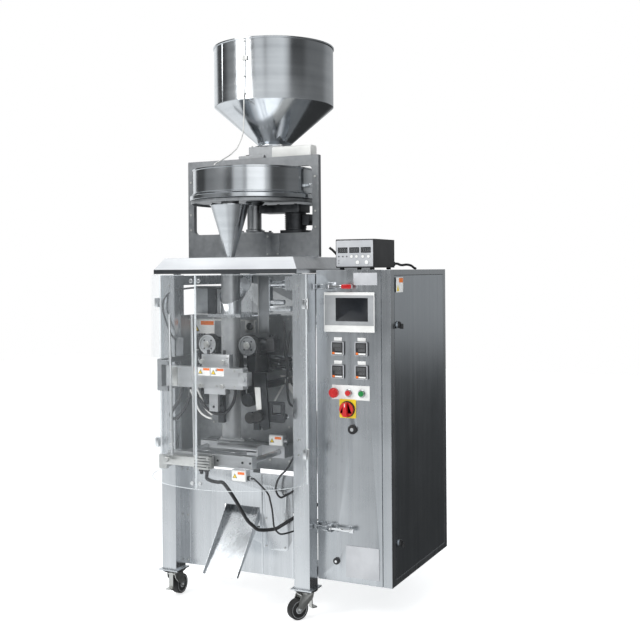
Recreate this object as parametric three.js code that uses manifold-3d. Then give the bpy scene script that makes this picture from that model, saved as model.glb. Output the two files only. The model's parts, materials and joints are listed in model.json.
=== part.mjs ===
// Vertical form fill sealer: a four-post bagging machine with a cup filler on top and an
// electrical cabinet on its right. Millimetres, +Z up. While building, x runs across from the
// forming tube's plane, y to the rear from the front posts' faces, and z up from the floor.
import * as THREE from "three";
import Module from "manifold-3d";
import { mergeVertices } from "three/addons/utils/BufferGeometryUtils.js";

const wasm = await Module();
wasm.setup();

// ---------------------------------------------------------------- driving dimensions
const GAP = 0.3; // between touching pieces
const POST = { x0: 276, x1: 344, depth: 70, z0: 119, z1: 1344, rear: 643 };
const HOOD = { x: 330, front: -67, back: 700, z0: 1348, lip: 1366, top: 1413, run: 32 };
const CAB = { x0: 346, x1: 660, y0: 70, y1: 713, z0: 147, z1: 1360, door: 621 };
const GUARD = { a: 344, b: 267, thick: 5, z0: 533, z1: 1345, hinge: -10 };
const TUBE = { y: -6, r: 38, z0: 690, z1: 1385 };
const STAND = {
  x: 313, win: 284, shelf: 245, y0: 165, y1: 187, back: 300,
  z0: 1413.3, base: 1514, beam: 1785, top: 1828,
};
const BOWL = { y: 190, r: 254, disc: 267, z: 1675, top: 1778 };
const CUP = { reach: 196, r: 30, count: 6 };
const HOPPER = { y: 369, r: 259, spout: 70, z0: 1893.3, cone: 2067, rim: 2324 };
const PLATE = { y0: 150, y1: 160, z0: 540, z1: 1175 };
const BELT = { x: 93, y0: -38, y1: -2, z: 1063, low: 850, r: 40, rLow: 26, thick: 3 };
const JAW = { rod: 170, z: 630, open: 45 };
const ARM = { px: -205, py: -145, z0: 905, z1: 985 };
const CASTER = { wheel: 41, width: 32, trail: 40, plate: 92 };
const ROLL = { y: 905, z: 520, r: 150, core: 38, w: 320 };
const ROLLER = { y: 620, z: 1120, r: 22, w: 470 };
const LATCH = { x: 410, y: 48, z: [1296, 356] };
const CORNERS = [[-310, 35], [310, 35], [-310, 678], [310, 678]];

// ---------------------------------------------------------------- solids
function solid(geometry) {
  const bare = geometry.index ? geometry.toNonIndexed() : geometry.clone();
  bare.deleteAttribute("normal");
  bare.deleteAttribute("uv");
  const g = mergeVertices(bare, 1e-4);
  const triVerts = [];
  for (let i = 0; i < g.index.count; i += 3) {
    const [a, b, c] = [0, 1, 2].map((k) => g.index.getX(i + k));
    if (a !== b && b !== c && c !== a) triVerts.push(a, b, c);
  }
  return new wasm.Manifold(
    new wasm.Mesh({
      numProp: 3,
      vertProperties: new Float32Array(g.attributes.position.array),
      triVerts: new Uint32Array(triVerts),
    }),
  );
}

const join = (...list) => list.flat().reduce((sum, next) => sum.add(next));
const cut = (from, ...list) => list.flat().reduce((left, next) => left.subtract(next), from);

function box(x0, x1, y0, y1, z0, z1) {
  const g = new THREE.BoxGeometry(x1 - x0, y1 - y0, z1 - z0);
  return solid(g.translate((x0 + x1) / 2, (y0 + y1) / 2, (z0 + z1) / 2));
}

// The same box on the left (side -1) or on the right (side 1) of the centre plane.
function sideBox(side, x0, x1, ...rest) {
  return side > 0 ? box(x0, x1, ...rest) : box(-x1, -x0, ...rest);
}

const bothSides = (make) => [-1, 1].map(make).flat();

// More sides on a bigger round, so that small pins stay light.
const sidesOf = (r) => Math.min(28, 2 * Math.round(2.6 + Math.sqrt(r) * 0.62));

// A round bar along an axis, from a to b; c and d place it on the other two axes, in x, y, z order.
function bar(axis, r, a, b, c, d, sides = sidesOf(r)) {
  const g = new THREE.CylinderGeometry(r, r, b - a, sides);
  const mid = (a + b) / 2;
  if (axis === "x") return solid(g.rotateZ(Math.PI / 2).translate(mid, c, d));
  if (axis === "z") return solid(g.rotateX(Math.PI / 2).translate(c, d, mid));
  return solid(g.translate(c, mid, d));
}

// The hole for a bar of radius r to turn or slide in: its flats clear the bar's corners.
function bore(axis, r, ...rest) {
  const sides = sidesOf(r);
  return bar(axis, (r + 0.4) / Math.cos(Math.PI / sides), ...rest, sides);
}

function barBetween(from, to, r, sides = 8) {
  const a = new THREE.Vector3(...from);
  const b = new THREE.Vector3(...to);
  const g = new THREE.CylinderGeometry(r, r, a.distanceTo(b), sides);
  const turn = new THREE.Quaternion().setFromUnitVectors(
    new THREE.Vector3(0, 1, 0), b.clone().sub(a).normalize());
  return solid(g.applyQuaternion(turn).translate(...a.lerp(b, 0.5).toArray()));
}

// A flat outline, pushed along an axis from a to b. The outline's two numbers are (y, z) for x,
// (x, z) for y and (x, y) for z.
const FRAMES = {
  x: [[0, 1, 0], [0, 0, 1], [1, 0, 0]],
  y: [[1, 0, 0], [0, 0, 1], [0, -1, 0]],
  z: [[1, 0, 0], [0, 1, 0], [0, 0, 1]],
};
function prism(axis, outline, a, b) {
  const asShape = (points) => new THREE.Shape(points.map((p) => new THREE.Vector2(...p)));
  const shape = outline instanceof THREE.Shape ? outline : asShape(outline);
  const g = new THREE.ExtrudeGeometry(shape, { depth: b - a, bevelEnabled: false, curveSegments: 3 });
  const [u, v, w] = FRAMES[axis].map((d) => new THREE.Vector3(...d));
  g.applyMatrix4(new THREE.Matrix4().makeBasis(u, v, w));
  const at = axis === "y" ? b : a;
  return solid(g.translate(...{ x: [at, 0, 0], y: [0, at, 0], z: [0, 0, at] }[axis]));
}

function roundRect(x0, x1, z0, z1, r) {
  const s = new THREE.Shape();
  s.moveTo(x0 + r, z0);
  s.absarc(x1 - r, z0 + r, r, -Math.PI / 2, 0);
  s.absarc(x1 - r, z1 - r, r, 0, Math.PI / 2);
  s.absarc(x0 + r, z1 - r, r, Math.PI / 2, Math.PI);
  s.absarc(x0 + r, z0 + r, r, Math.PI, 1.5 * Math.PI);
  return s;
}

// A turned piece about the vertical line through (x, y); the profile is a closed list of (r, z).
function turned(x, y, profile, sides = sidesOf(Math.max(...profile.map((p) => p[0])))) {
  const loop = [...profile, profile[0]].map(([r, z]) => new THREE.Vector2(r, z));
  const points = THREE.ShapeUtils.area(loop) > 0 ? loop : loop.reverse();
  return solid(new THREE.LatheGeometry(points, sides).rotateX(Math.PI / 2).translate(x, y, 0));
}

// A hip-roof block: a rectangle at z0 that draws in by `run` at its front and sides by z1.
function hip(x, y0, y1, z0, z1, run) {
  const g = new THREE.BoxGeometry(2, 2, 2);
  const p = g.attributes.position;
  for (let i = 0; i < p.count; i += 1) {
    const inset = p.getZ(i) > 0 ? run : 0;
    p.setXYZ(i, p.getX(i) * (x - inset), p.getY(i) > 0 ? y1 : y0 + inset, p.getZ(i) > 0 ? z1 : z0);
  }
  return solid(g);
}

// A cord or hose: a round section pushed along a smooth curve through its points.
function cordSolid(points, r, sides = 8) {
  const curve = new THREE.CatmullRomCurve3(points.map((p) => new THREE.Vector3(...p)), false, "centripetal");
  const ring = Array.from({ length: sides }, (_, i) => {
    const t = (i / sides) * 2 * Math.PI;
    return new THREE.Vector2(r * Math.cos(t), r * Math.sin(t));
  });
  const steps = Math.min(40, Math.max(24, Math.round(curve.getLength() / (r * 6))));
  return solid(new THREE.ExtrudeGeometry(new THREE.Shape(ring), { steps, extrudePath: curve }));
}

// ---------------------------------------------------------------- the scene
const machine = new THREE.Group();
machine.name = "vertical_form_fill_sealer";

const FINISH = {
  steel: [0xb9bdc0, 0.9, 0.34],
  satin: [0x9da2a6, 0.85, 0.45],
  dark: [0x44484c, 0.7, 0.5],
  chrome: [0xd8dadc, 1.0, 0.12],
  aluminium: [0xc9ccce, 0.8, 0.4],
  black: [0x151617, 0.0, 0.55],
  rubber: [0x1b1b1c, 0.0, 0.9],
  white: [0xe6e7e4, 0.0, 0.5],
  clear: [0xdfe8ea, 0.0, 0.05],
  red: [0xc01818, 0.0, 0.35],
  green: [0x1d8a3c, 0.0, 0.35],
  film: [0xdfe3e4, 0.0, 0.3],
};

function node(name, finish, body) {
  const out = body.getMesh();
  const g = new THREE.BufferGeometry();
  g.setAttribute("position", new THREE.BufferAttribute(new Float32Array(out.vertProperties), 3));
  g.setIndex(new THREE.BufferAttribute(new Uint32Array(out.triVerts), 1));
  g.computeVertexNormals();
  const [color, metalness, roughness] = FINISH[finish];
  const look = new THREE.MeshStandardMaterial({ color, metalness, roughness });
  if (finish === "clear") Object.assign(look, { transparent: true, opacity: 0.3 });
  const mesh = new THREE.Mesh(g, look);
  mesh.name = name;
  machine.add(mesh);
  return mesh;
}

// ---------------------------------------------------------------- frame and covers
// Square-tube frame: the posts' hollows open at their feet, and the rails' hollows into the posts'.
function mainFrame() {
  const { x0, x1, depth, z0, z1, rear } = POST;
  const rails = [150, 1300];
  const walls = [];
  const hollows = [];
  for (const side of [-1, 1]) {
    for (const y of [0, rear]) {
      walls.push(sideBox(side, x0, x1, y, y + depth, z0, z1));
      hollows.push(sideBox(side, x0 + 4, x1 - 4, y + 4, y + depth - 4, z0 - 1, z1 - 4));
    }
    for (const z of rails) {
      walls.push(sideBox(side, 300, 340, depth - 2, rear + 2, z, z + 40));
      hollows.push(sideBox(side, 303, 337, depth - 8, rear + 8, z + 3, z + 37));
    }
  }
  for (const z of [...rails, ROLL.z - 20]) {
    walls.push(box(-x0 - 2, x0 + 2, rear + 15, rear + 55, z, z + 40));
    hollows.push(box(-x0 - 8, x0 + 8, rear + 18, rear + 52, z + 3, z + 37));
  }
  return join(cut(join(walls), hollows), filmStand(), casterPlates(), latchCatches());
}

// Two arms behind the frame carry the film roll's shaft, and two ears the upper guide roller's.
function filmStand() {
  const arm = (s) => sideBox(s, 196, 222, POST.rear + 54, ROLL.y + 28, ROLL.z - 18, ROLL.z + 18);
  const ear = (s) => sideBox(s, 250, 278, ROLLER.y - 16, POST.rear + 3, ROLLER.z - 15, ROLLER.z + 15);
  return cut(
    join(bothSides(arm), bothSides(ear)),
    bore("x", 12, -240, 240, ROLL.y, ROLL.z),
    bore("x", 8, -270, 270, ROLLER.y, ROLLER.z),
  );
}

// Each post stands on a bored plate, which its caster is bolted to.
function casterPlates() {
  const half = CASTER.plate / 2;
  return CORNERS.map(([x, y]) => cut(
    box(x - half, x + half, y - half, y + half, POST.z0 - 5, POST.z0),
    bar("z", 12, POST.z0 - 9, POST.z0 + 9, x, y),
  ));
}

const latchCatches = () => LATCH.z.map((z) => box(POST.x1 - 1, 357, 48, 58, z - 10, z + 10));

node("main_frame", "steel", mainFrame());

// A pan whose side flanges are bolted inside the posts; the jaw rods and cylinder pass through it.
function machinePlate() {
  const { y0, y1, z0, z1 } = PLATE;
  const x = POST.x0 - GAP;
  const flanges = bothSides((s) => sideBox(s, x - 6, x, 35, y0 + 1, z0, z1));
  const holes = bothSides((s) => bar("y", 15, y0 - 5, y1 + 5, s * JAW.rod, JAW.z));
  return cut(join(box(-x, x, y0, y1, z0, z1), flanges), holes, bar("y", 34, y0 - 5, y1 + 5, 0, JAW.z));
}
node("machine_plate", "satin", machinePlate());

// The lower front sheet: a window for the chute, a rounded hatch with its screws, two bent ribs.
function frontCover() {
  const y = POST.depth + GAP;
  const sheet = box(-299.7, 299.7, y, y + 3, 130, PLATE.z0 - GAP);
  const hatch = prism("y", roundRect(102, 215, 236, 484, 16), y - 2.5, y + 1);
  const screws = [116, 201].flatMap((x) => [250, 360, 470].map((z) => bar("y", 4, y - 4.5, y, x, z)));
  const glands = [[252, 382, 18], [262, 332, 10]].map(([x, z, r]) => bar("y", r, y - 6, y + 6, x, z));
  return cut(join(sheet, hatch, screws), box(-84, 84, y - 6, y + 6, 318, 400), glands);
}
node("front_cover_plate", "steel", frontCover());

function hood() {
  const { x, front, back, z0, lip, top, run } = HOOD;
  const t = 3;
  const outer = join(box(-x, x, front, back, z0, lip), hip(x, front, back, lip, top, run));
  const inner = join(
    box(-x + t, x - t, front + t, back - t, z0 - 1, lip),
    hip(x - t, front + t, back - t, lip, top - t, run),
  );
  const pads = bothSides((s) => [15, POST.rear + 5].map((y) =>
    sideBox(s, 280, 290, y, y + 40, POST.z1 + GAP, top - 1)));
  const seam = box(-0.75, 0.75, front - 1, back + 1, top - 1.2, top + 1);
  const spout = bar("z", 26, top - 10, top + 5, 0, TUBE.y);
  return cut(join(cut(outer, inner), pads), seam, spout);
}
node("hood", "steel", hood());

// Each clear door is a quarter-ellipse shell with its two hinge knuckles on the post's outer corner.
function guardDoor(side) {
  const { a, b, thick, z0, z1, hinge } = GUARD;
  const steps = 20;
  const start = Math.asin(-hinge / b);
  const stop = Math.PI / 2 - 0.006;
  const arc = (inset) => Array.from({ length: steps + 1 }, (_, i) => {
    const t = start + ((stop - start) * i) / steps;
    return [side * (a - inset) * Math.cos(t), -(b - inset) * Math.sin(t)];
  });
  const shell = prism("z", [...arc(0), ...arc(thick).reverse()], z0, z1);
  const knuckles = [651, 1230].map((z) => join(
    bar("z", 6, z - 20, z + 20, side * (a + 6.5), hinge - 8),
    sideBox(side, a - 9, a + 7, hinge - 26, hinge - 8, z - 20, z + 20),
  ));
  const studs = [556, 1322].map((z) => bar("y", 7, -b - 3, -b + thick + 4, side * 17, z));
  return join(shell, knuckles, studs);
}
node("guard_door_left", "clear", guardDoor(-1));
node("guard_door_right", "clear", guardDoor(1));

// A folded channel, laid at the slope that bags slide down.
function chute() {
  const [high, low] = [[121, 392], [-97, 157]];
  const n = new THREE.Vector2(low[1] - high[1], high[0] - low[0]).normalize();
  const lift = (p, d) => [p[0] + n.x * d, p[1] + n.y * d];
  const slab = (d0, d1) => [lift(high, d0), lift(low, d0), lift(low, d1), lift(high, d1)];
  const floor = prism("x", slab(0, 2), -79, 79);
  const wall = [lift(high, 0), lift(low, 0), lift(low, 12), lift(high, 38)];
  const walls = bothSides((s) => prism("x", wall, s > 0 ? 77 : -79, s > 0 ? 79 : -77));
  return join(floor, walls, box(-60, 60, 100, 121, 366, 372));
}
node("chute", "steel", chute());

// ---------------------------------------------------------------- filler
// A folded gantry, open at the back, with a shelf behind its foot for the column and the motor.
function fillerStand() {
  const { x, win, shelf, y0, y1, back, z0, base, beam, top } = STAND;
  const t = 3;
  const face = roundRect(-x, x, z0, top, 3);
  face.holes.push(roundRect(-win, win, base, beam, 20));
  return cut(
    join(prism("y", face, y0, y1), box(-shelf, shelf, y1 - 1, back, z0, base)),
    box(-x + t, x - t, y0 + t, y1 + 1, z0 - 1, base - t),
    box(-shelf + t, shelf - t, y0 + t, back - t, z0 - 1, base - t),
    bothSides((s) => sideBox(s, win + t, x - t, y0 + t, y1 + 1, base - 20, top - t)),
    box(-x + t, x - t, y0 + t, y1 + 1, beam + t, top - t),
  );
}
node("filler_stand", "satin", fillerStand());

// The fixed table under the disc: a rimmed plate on a column, open below the front cup.
function fillerTable() {
  const { y, disc, z } = BOWL;
  const r = disc - 3;
  const plate = turned(0, y, [[10.5, z - 39], [r, z - 39], [r, z - 25], [10.5, z - 25]]);
  const hollow = turned(0, y, [[45, z - 40], [r - 4, z - 40], [r - 4, z - 30], [45, z - 30]]);
  const column = turned(0, y, [[10.5, 1540], [30, 1540], [30, z - 38], [10.5, z - 38]]);
  const foot = join(box(-60, 60, y - 24, y + 55, STAND.base + GAP, 1521), bar("z", 30, 1520, 1541, 0, y));
  const drop = bar("z", CUP.r + 1, z - 45, z - 20, 0, y - CUP.reach);
  return cut(join(cut(plate, hollow), column, foot), drop);
}
node("filler_table", "steel", fillerTable());

// The turning disc: a ring of measuring cups in a thin top plate, keyed to its shaft.
function meteringDisc() {
  const { y, disc, z } = BOWL;
  const [low, high] = [z - 23, z - 5];
  const plate = bar("z", disc, low, high, 0, y);
  const inner = turned(0, y, [[40, low - 1], [158, low - 1], [158, high - 4], [40, high - 4]]);
  const outer = turned(0, y, [[234, low - 1], [262, low - 1], [262, high - 4], [234, high - 4]]);
  const cups = Array.from({ length: CUP.count }, (_, i) => {
    const t = ((i + 0.5) / CUP.count) * 2 * Math.PI;
    return bar("z", CUP.r, low - 1, high + 1, CUP.reach * Math.sin(t), y - CUP.reach * Math.cos(t));
  });
  const shaft = join(bar("z", 10, 1560, low + 1, 0, y), bar("z", 16, high - 1, high + 22, 0, y));
  return join(cut(plate, inner, outer, cups), shaft);
}
node("metering_disc", "steel", meteringDisc());

function bowl() {
  const { y, r, z, top } = BOWL;
  const wall = turned(0, y, [
    [r - 3, z], [r + 3, z], [r + 3, z + 5], [r, z + 5],
    [r, top - 5], [r + 3, top - 5], [r + 3, top], [r - 3, top],
  ]);
  const ears = bothSides((s) => sideBox(s, r - 4, STAND.win - GAP, y - 20, y + 20, 1700, 1712));
  const bridge = box(-22, 22, y - r + 1, y + r - 1, 1712, 1715);
  const shield = box(-48, 48, y - CUP.reach - 48, y - CUP.reach + 48, 1674, 1676);
  const stem = box(-4, 4, y - CUP.reach - 30, y - CUP.reach + 30, 1675, 1713);
  return join(wall, ears, bridge, shield, stem);
}
node("bowl", "steel", bowl());

function fillerMotor() {
  const [x, y] = [180, 220];
  const foot = box(x - 50, x + 50, y - 46, y + 46, STAND.base + GAP, 1526);
  const fins = [1540, 1554, 1568, 1582].map((z) => bar("z", 47, z, z + 5, x, y));
  const gears = prism("z", roundRect(33, x + 48, y - 60, y + 46, 14), 1598, 1630);
  const terminals = box(x + 40, x + 72, y - 24, y + 24, 1545, 1590);
  return join(foot, bar("z", 43, 1525, 1600, x, y), fins, gears, terminals);
}
node("filler_motor", "dark", fillerMotor());

// A spun cone that ends inside the forming tube, hung from the table's rim.
function dischargeFunnel() {
  const cone = turned(0, TUBE.y, [
    [16, 1380], [17.5, 1380], [17.5, 1420], [77.5, 1622], [82, 1622], [82, 1625], [76, 1625], [16, 1420.5],
  ]);
  return join(cone, bothSides((s) => sideBox(s, 77, 82, TUBE.y - 6, TUBE.y + 30, 1622, BOWL.z - 39 - GAP)));
}
node("discharge_funnel", "steel", dischargeFunnel());

function hopper() {
  const { y, r, spout, z0, cone, rim } = HOPPER;
  return turned(0, y, [
    [spout - 2, z0], [spout + 16, z0], [spout + 16, z0 + 4], [spout, z0 + 4], [spout, z0 + 8], [r, cone],
    [r, rim - 6], [r + 4, rim - 6], [r + 4, rim], [r - 2, rim], [r - 2, cone + 1], [spout - 2, z0 + 9],
  ]);
}
node("hopper", "steel", hopper());

function gateHousing() {
  const y = HOPPER.y;
  const body = box(-82, 82, y - 80, y + 80, 1838, HOPPER.z0 - GAP);
  const outlet = turned(0, y, [[60, 1792], [63, 1792], [63, 1840], [60, 1840]]);
  const arm = box(-60, 60, STAND.y0, y - 70, STAND.top + GAP, 1840);
  const passage = bar("z", 60, 1780, 1900, 0, y);
  const actuator = join(
    prism("x", [[172, 1829], [228, 1829], [228, 1864], [221, 1871], [179, 1871], [172, 1864]], 96, 274),
    box(50, 100, 176, 224, STAND.top + GAP, 1842),
    bar("x", 9, 84, 97, 200, 1856),
  );
  return cut(join(body, outlet, arm, actuator), passage, box(-90, 74.3, y - 68.3, y + 68.3, 1857.7, 1862.3));
}
node("gate_housing", "satin", gateHousing());

function gateSlide() {
  const y = HOPPER.y;
  const blade = box(-104, 74, y - 68, y + 68, 1858, 1862);
  return join(blade, box(-108, -103, y - 22, y + 22, 1848, 1872), bar("x", 9, -128, -107, y, 1860));
}
node("gate_slide", "black", gateSlide());

// ---------------------------------------------------------------- forming set
function formingTube() {
  const { y, r, z0, z1 } = TUBE;
  const tube = turned(0, y, [[r - 1.5, z0], [r, z0], [r, z1], [r - 1.5, z1]]);
  const flange = turned(0, y, [[r - 1, z1 - 5], [r + 3, z1 - 5], [r + 3, z1], [r - 1, z1]]);
  return join(tube, flange, box(-20, 20, y + r, 120, z1 - 5, z1));
}
node("forming_tube", "chrome", formingTube());

// The collar: a sleeve round the tube that flares into a shoulder, high at the back, on its bracket.
function formingCollar() {
  const { y, r } = TUBE;
  const [inner, low, high] = [r + 2, 1186, 1336];
  const flare = turned(0, y, [
    [inner, low], [inner + 2.5, low], [inner + 2.5, 1236],
    [inner + 68, high], [inner + 65, high], [inner, 1238],
  ]);
  const tilt = new THREE.BoxGeometry(400, 400, 300).translate(0, 0, 150).rotateX(0.62)
    .translate(0, y - r - 2, 1228);
  const seat = box(-75, 75, y - 50, PLATE.y1, PLATE.z1 + GAP, low + 1);
  const sleeve = join(cut(flare, solid(tilt)), cut(seat, bore("z", inner, 1100, 1300, 0, y)));
  return join(sleeve, collarBracket());
}

// An upright plate beside the collar, with the two film guide rollers' stubs and their end block.
function collarBracket() {
  const plate = box(88, 138, 60, 64, PLATE.z1 + GAP, 1340);
  const foot = box(70, 138, 60, PLATE.y1, PLATE.z1 + GAP, 1181);
  const stubs = [[1304, 13, 212], [1232, 10, 200]].map(([z, r, x]) => bar("x", r, 137, x, 78, z));
  const ends = join(box(212, 250, 60, 96, 1280, 1336), bar("x", 18, 196, 213, 78, 1304));
  const block = box(150, 232, 66, 92, 1196, 1216);
  const flange = box(137, 140, 64, 92, 1190, 1330);
  const tie = join(box(139, 151, 66, 92, 1196, 1216), box(118, 140, 62, 80, 1196, 1216));
  return join(plate, foot, stubs, ends, block, flange, tie);
}
node("forming_collar", "steel", formingCollar());

// ---------------------------------------------------------------- film pull belts
// Both units run on one pair of cross rods and are pressed to the tube by a cylinder each.
const SLIDE = { y: 112, z: [962, 1008], cylinder: 985 };

function beltGuide() {
  const ends = bothSides((s) => sideBox(s, 226, 240, 96, PLATE.y0 - GAP, 945, 1025));
  const rods = SLIDE.z.map((z) => bar("x", 8, -230, 230, SLIDE.y, z));
  const cylinders = bothSides((s) => cut(
    join(bar("x", 13, ...(s > 0 ? [158, 228] : [-228, -158]), SLIDE.y, SLIDE.cylinder)),
    bore("x", 5, ...(s > 0 ? [150, 215] : [-215, -150]), SLIDE.y, SLIDE.cylinder),
  ));
  return join(ends, rods, cylinders);
}
node("belt_guide", "chrome", beltGuide());

function beltUnit(side) {
  const { x, y1, z, low } = BELT;
  const at = side * x;
  const arm = prism("y", roundRect(at - 24, at + 24, low - 24, z + 30, 10), y1 + 3, y1 + 14);
  const stub = bar("y", 8, BELT.y0 - 6, y1 + 4, at, z);
  const cap = bar("y", 14, BELT.y0 - 6, BELT.y0 - 1, at, z);
  const nose = bar("y", BELT.rLow - GAP, BELT.y0 - 3, y1 + 4, at, low);
  const carrier = cut(
    sideBox(side, x - 22, x + 22, SLIDE.y - 16, SLIDE.y + 16, 945, 1025),
    SLIDE.z.map((h) => bore("x", 8, -240, 240, SLIDE.y, h)),
  );
  const neck = sideBox(side, x - 14, x + 14, y1 + 13, SLIDE.y - 15, 955, 1015);
  const piston = bar("x", 5, ...(side > 0 ? [x + 20, 190] : [-190, -x - 20]), SLIDE.y, SLIDE.cylinder);
  const gearbox = sideBox(side, x - 28, x + 28, y1 + 13, 64, z - 28, z + 28);
  const motor = bar("x", 24, ...(side > 0 ? [x + 27, x + 92] : [-x - 92, -x - 27]), 38, z);
  return join(arm, stub, cap, nose, carrier, neck, piston, gearbox, motor);
}

function pulley(side) {
  const { x, y0, y1, z, r } = BELT;
  const wheel = bar("y", r - GAP, y0, y1, side * x, z);
  const boss = bar("y", r * 0.36, y0 - 2, y0 + 5, side * x, z);
  const dish = cut(bar("y", r * 0.78, y0 - 1, y0 + 4, side * x, z), boss);
  return cut(wheel, dish, bore("y", 8, y0 - 1, y1 + 1, side * x, z));
}

// The belt's loop round both pulleys: two arcs joined by their common tangents.
function belt(side) {
  const { x, y0, y1, z, low, r, rLow, thick } = BELT;
  const lean = Math.asin((r - rLow) / (z - low));
  const loop = (extra) => {
    const arc = (cz, radius, from, to) => Array.from({ length: 17 }, (_, i) => {
      const t = from + ((to - from) * i) / 16;
      return [side * x + (radius + extra) * Math.cos(t), cz + (radius + extra) * Math.sin(t)];
    });
    return [...arc(z, r, -lean, Math.PI + lean), ...arc(low, rLow, Math.PI + lean, 2 * Math.PI - lean)];
  };
  return cut(prism("y", loop(thick), y0 + 1, y1 - 1), prism("y", loop(0), y0, y1));
}

for (const [name, side] of [["left", -1], ["right", 1]]) {
  node(`belt_unit_${name}`, "dark", beltUnit(side));
  node(`belt_pulley_${name}`, "steel", pulley(side));
  node(`belt_${name}`, "rubber", belt(side));
}

// ---------------------------------------------------------------- vertical seal
// A hinge post on the left of the machine plate carries the arm; the heated bar slides in the arm.
function sealArmPost() {
  const post = box(-256, -236, -152, -120, 884, 1010);
  const ears = [[884, 902], [988.5, 1004]].map(([a, b]) => box(-240, -200, -160, -130, a, b));
  const beams = [[884, 904], [990, 1010]].map(([a, b]) => box(-256, -242, -130, PLATE.y0 - GAP, a, b));
  return join(post, ears, beams, bar("z", 6, 900, 990, ARM.px, ARM.py));
}
node("seal_arm_post", "satin", sealArmPost());

function sealArm() {
  const { px, py, z0, z1 } = ARM;
  const body = box(-186, 147, -165, -125, z0, z1);
  const lug = join(bar("z", 11, z0, z1, px, py), box(px, -184, -152, -138, z0, z1));
  const top = box(-42, 83, -158, -128, z1 - 1, 1036);
  const latch = join(box(132, 168, -170, -132, 920, 971), bar("y", 14, -182, -169, 150, 946));
  const plungers = [830, 940].map((z) => bar("y", 9, -126, -112, 0, z));
  const drop = join(box(-30, 66, -160, -126, 882, z0 + 1), box(-20, 20, -140, -126, 812, z0 + 1));
  const bores = [830, 940].map((z) => bore("y", 5, -155, -100, 0, z));
  return cut(join(body, lug, top, latch, plungers, drop), bore("z", 6, 800, 1100, px, py), bores);
}
node("seal_arm", "aluminium", sealArm());

node("seal_bar", "dark", join(
  box(-13, 13, -86, -66, 760, 1000),
  box(-8, 8, -67, -59, 764, 996),
  [830, 940].map((z) => bar("y", 5, -140, -85, 0, z)),
));

// Two polished rods on a bracket that reaches round the front jaw from the machine plate.
function supportRods() {
  const beam = box(-216, -200, -196, PLATE.y0 - GAP, 585, 603);
  const riser = box(-216, -180, -200, -188, 585, 640);
  const plate = box(-186, -40, -213, -189, 606, 642);
  const boss = bar("y", 9, -218, -212, -172, 624);
  const rods = [[-150, -162], [-47, -56]].map(([low, high]) =>
    barBetween([low, -203, 640], [high, -203, 1190], 5.5));
  return join(beam, riser, plate, boss, rods, airCylinder());
}

// The compact air cylinder at the bracket's end, with its four screws and two hose fittings.
function airCylinder() {
  const body = prism("y", roundRect(-42, 26, 598, 650, 5), -214, -181);
  const ribs = [-207, -199, -191].map((y) => box(-45, 29, y, y + 3, 601, 647));
  const screws = [-34, 18].flatMap((x) => [606, 642].map((z) => bar("y", 4, -218, -213, x, z)));
  const fittings = [-20, 4].map((x) => bar("z", 6, 578, 600, x, -197));
  return join(body, ribs, screws, fittings);
}
node("support_rods", "chrome", supportRods());

// The tapered arm on the right with its pair of black rollers and its slotted cylinder plate.
function tensionArm() {
  const blade = prism("y", [[138, 962], [188, 962], [204, 745], [180, 738], [160, 760]], -62, -52);
  const stub = box(164, 196, -54, PLATE.y0 - GAP, 902, 926);
  const rollers = [[128, 786], [160, 792]].map(([x, z]) => bar("y", 22, -84, -52, x, z));
  const cylinder = bar("x", 12, 196, 262, -30, 792);
  const slot = cut(
    prism("y", roundRect(196, 266, 770, 852, 10), -54, -46),
    box(212, 250, -60, -40, 800, 838),
  );
  const feet = [box(136, 162, -66, -53, 738, 765), box(196, 204, -54, -30, 782, 802)];
  return join(blade, stub, rollers, cylinder, slot, feet);
}
node("tension_arm", "dark", tensionArm());

// ---------------------------------------------------------------- horizontal jaws
function rodHoles(r) {
  return bothSides((s) => bore("y", r, -400, 400, s * JAW.rod, JAW.z));
}

function jawGuideBlock() {
  const blocks = bothSides((s) => sideBox(s, 144, 198, 112, PLATE.y0 - GAP, 604, 656));
  const tie = box(-150, 150, 122, PLATE.y0 - GAP, 606, 654);
  const cylinder = join(bar("y", 31, 140, 246, 0, JAW.z), bar("y", 36, 226, 246, 0, JAW.z));
  return cut(join(tie, blocks, cylinder), rodHoles(11), bore("y", 8, 190, 260, 0, JAW.z));
}
node("jaw_guide_block", "aluminium", jawGuideBlock());

// A heater's terminal box with its cable gland, fixed to a carrier's lower or upper edge.
function terminalBox(x, y, z, gland) {
  const lid = prism("y", roundRect(x, x + 66, z, z + 46, 6), y, y + 27);
  return join(lid, bar("x", 8, x + 65, x + 80, y + 12, z + gland));
}

// The front carrier is tied by its two rods to a yoke behind the machine plate.
function frontJaw() {
  const carrier = box(-192, 192, -176, -142, 606, 654);
  const stalks = bothSides((s) => sideBox(s, 50, 70, -143, -99, 612, 648));
  const face = TUBE.y - JAW.open;
  const jaw = cut(box(-95, 95, -100, face, 608, 652), box(-88.5, 88.5, -101, face + 1, 627, 633));
  const bridge = join(bothSides((s) => sideBox(s, 88, 95, -100, face, 608, 652)));
  const rods = bothSides((s) => bar("y", 11, -143, 290, s * JAW.rod, JAW.z));
  const yoke = box(-192, 192, 270, 296, 612, 648);
  const piston = bar("y", 8, 196, 272, 0, JAW.z);
  return join(carrier, stalks, jaw, bridge, rods, yoke, piston, terminalBox(116, -201, 562, 14));
}
node("front_jaw", "aluminium", frontJaw());

function rearJaw() {
  const face = TUBE.y + JAW.open;
  const jaw = cut(box(-95, 95, face, 74, 608, 652), box(-88.5, 88.5, face - 1, face + 26, 627, 633));
  return cut(join(jaw, box(-198, 198, 73, 108, 606, 654), terminalBox(126, 74, 653, 22)), rodHoles(11));
}
node("rear_jaw", "aluminium", rearJaw());

// The film knife lies in the front jaw's slot, with its cylinder's rod running through the carrier.
node("knife", "steel", box(-87, 87, -96, -60, 628.4, 631.6));

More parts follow.
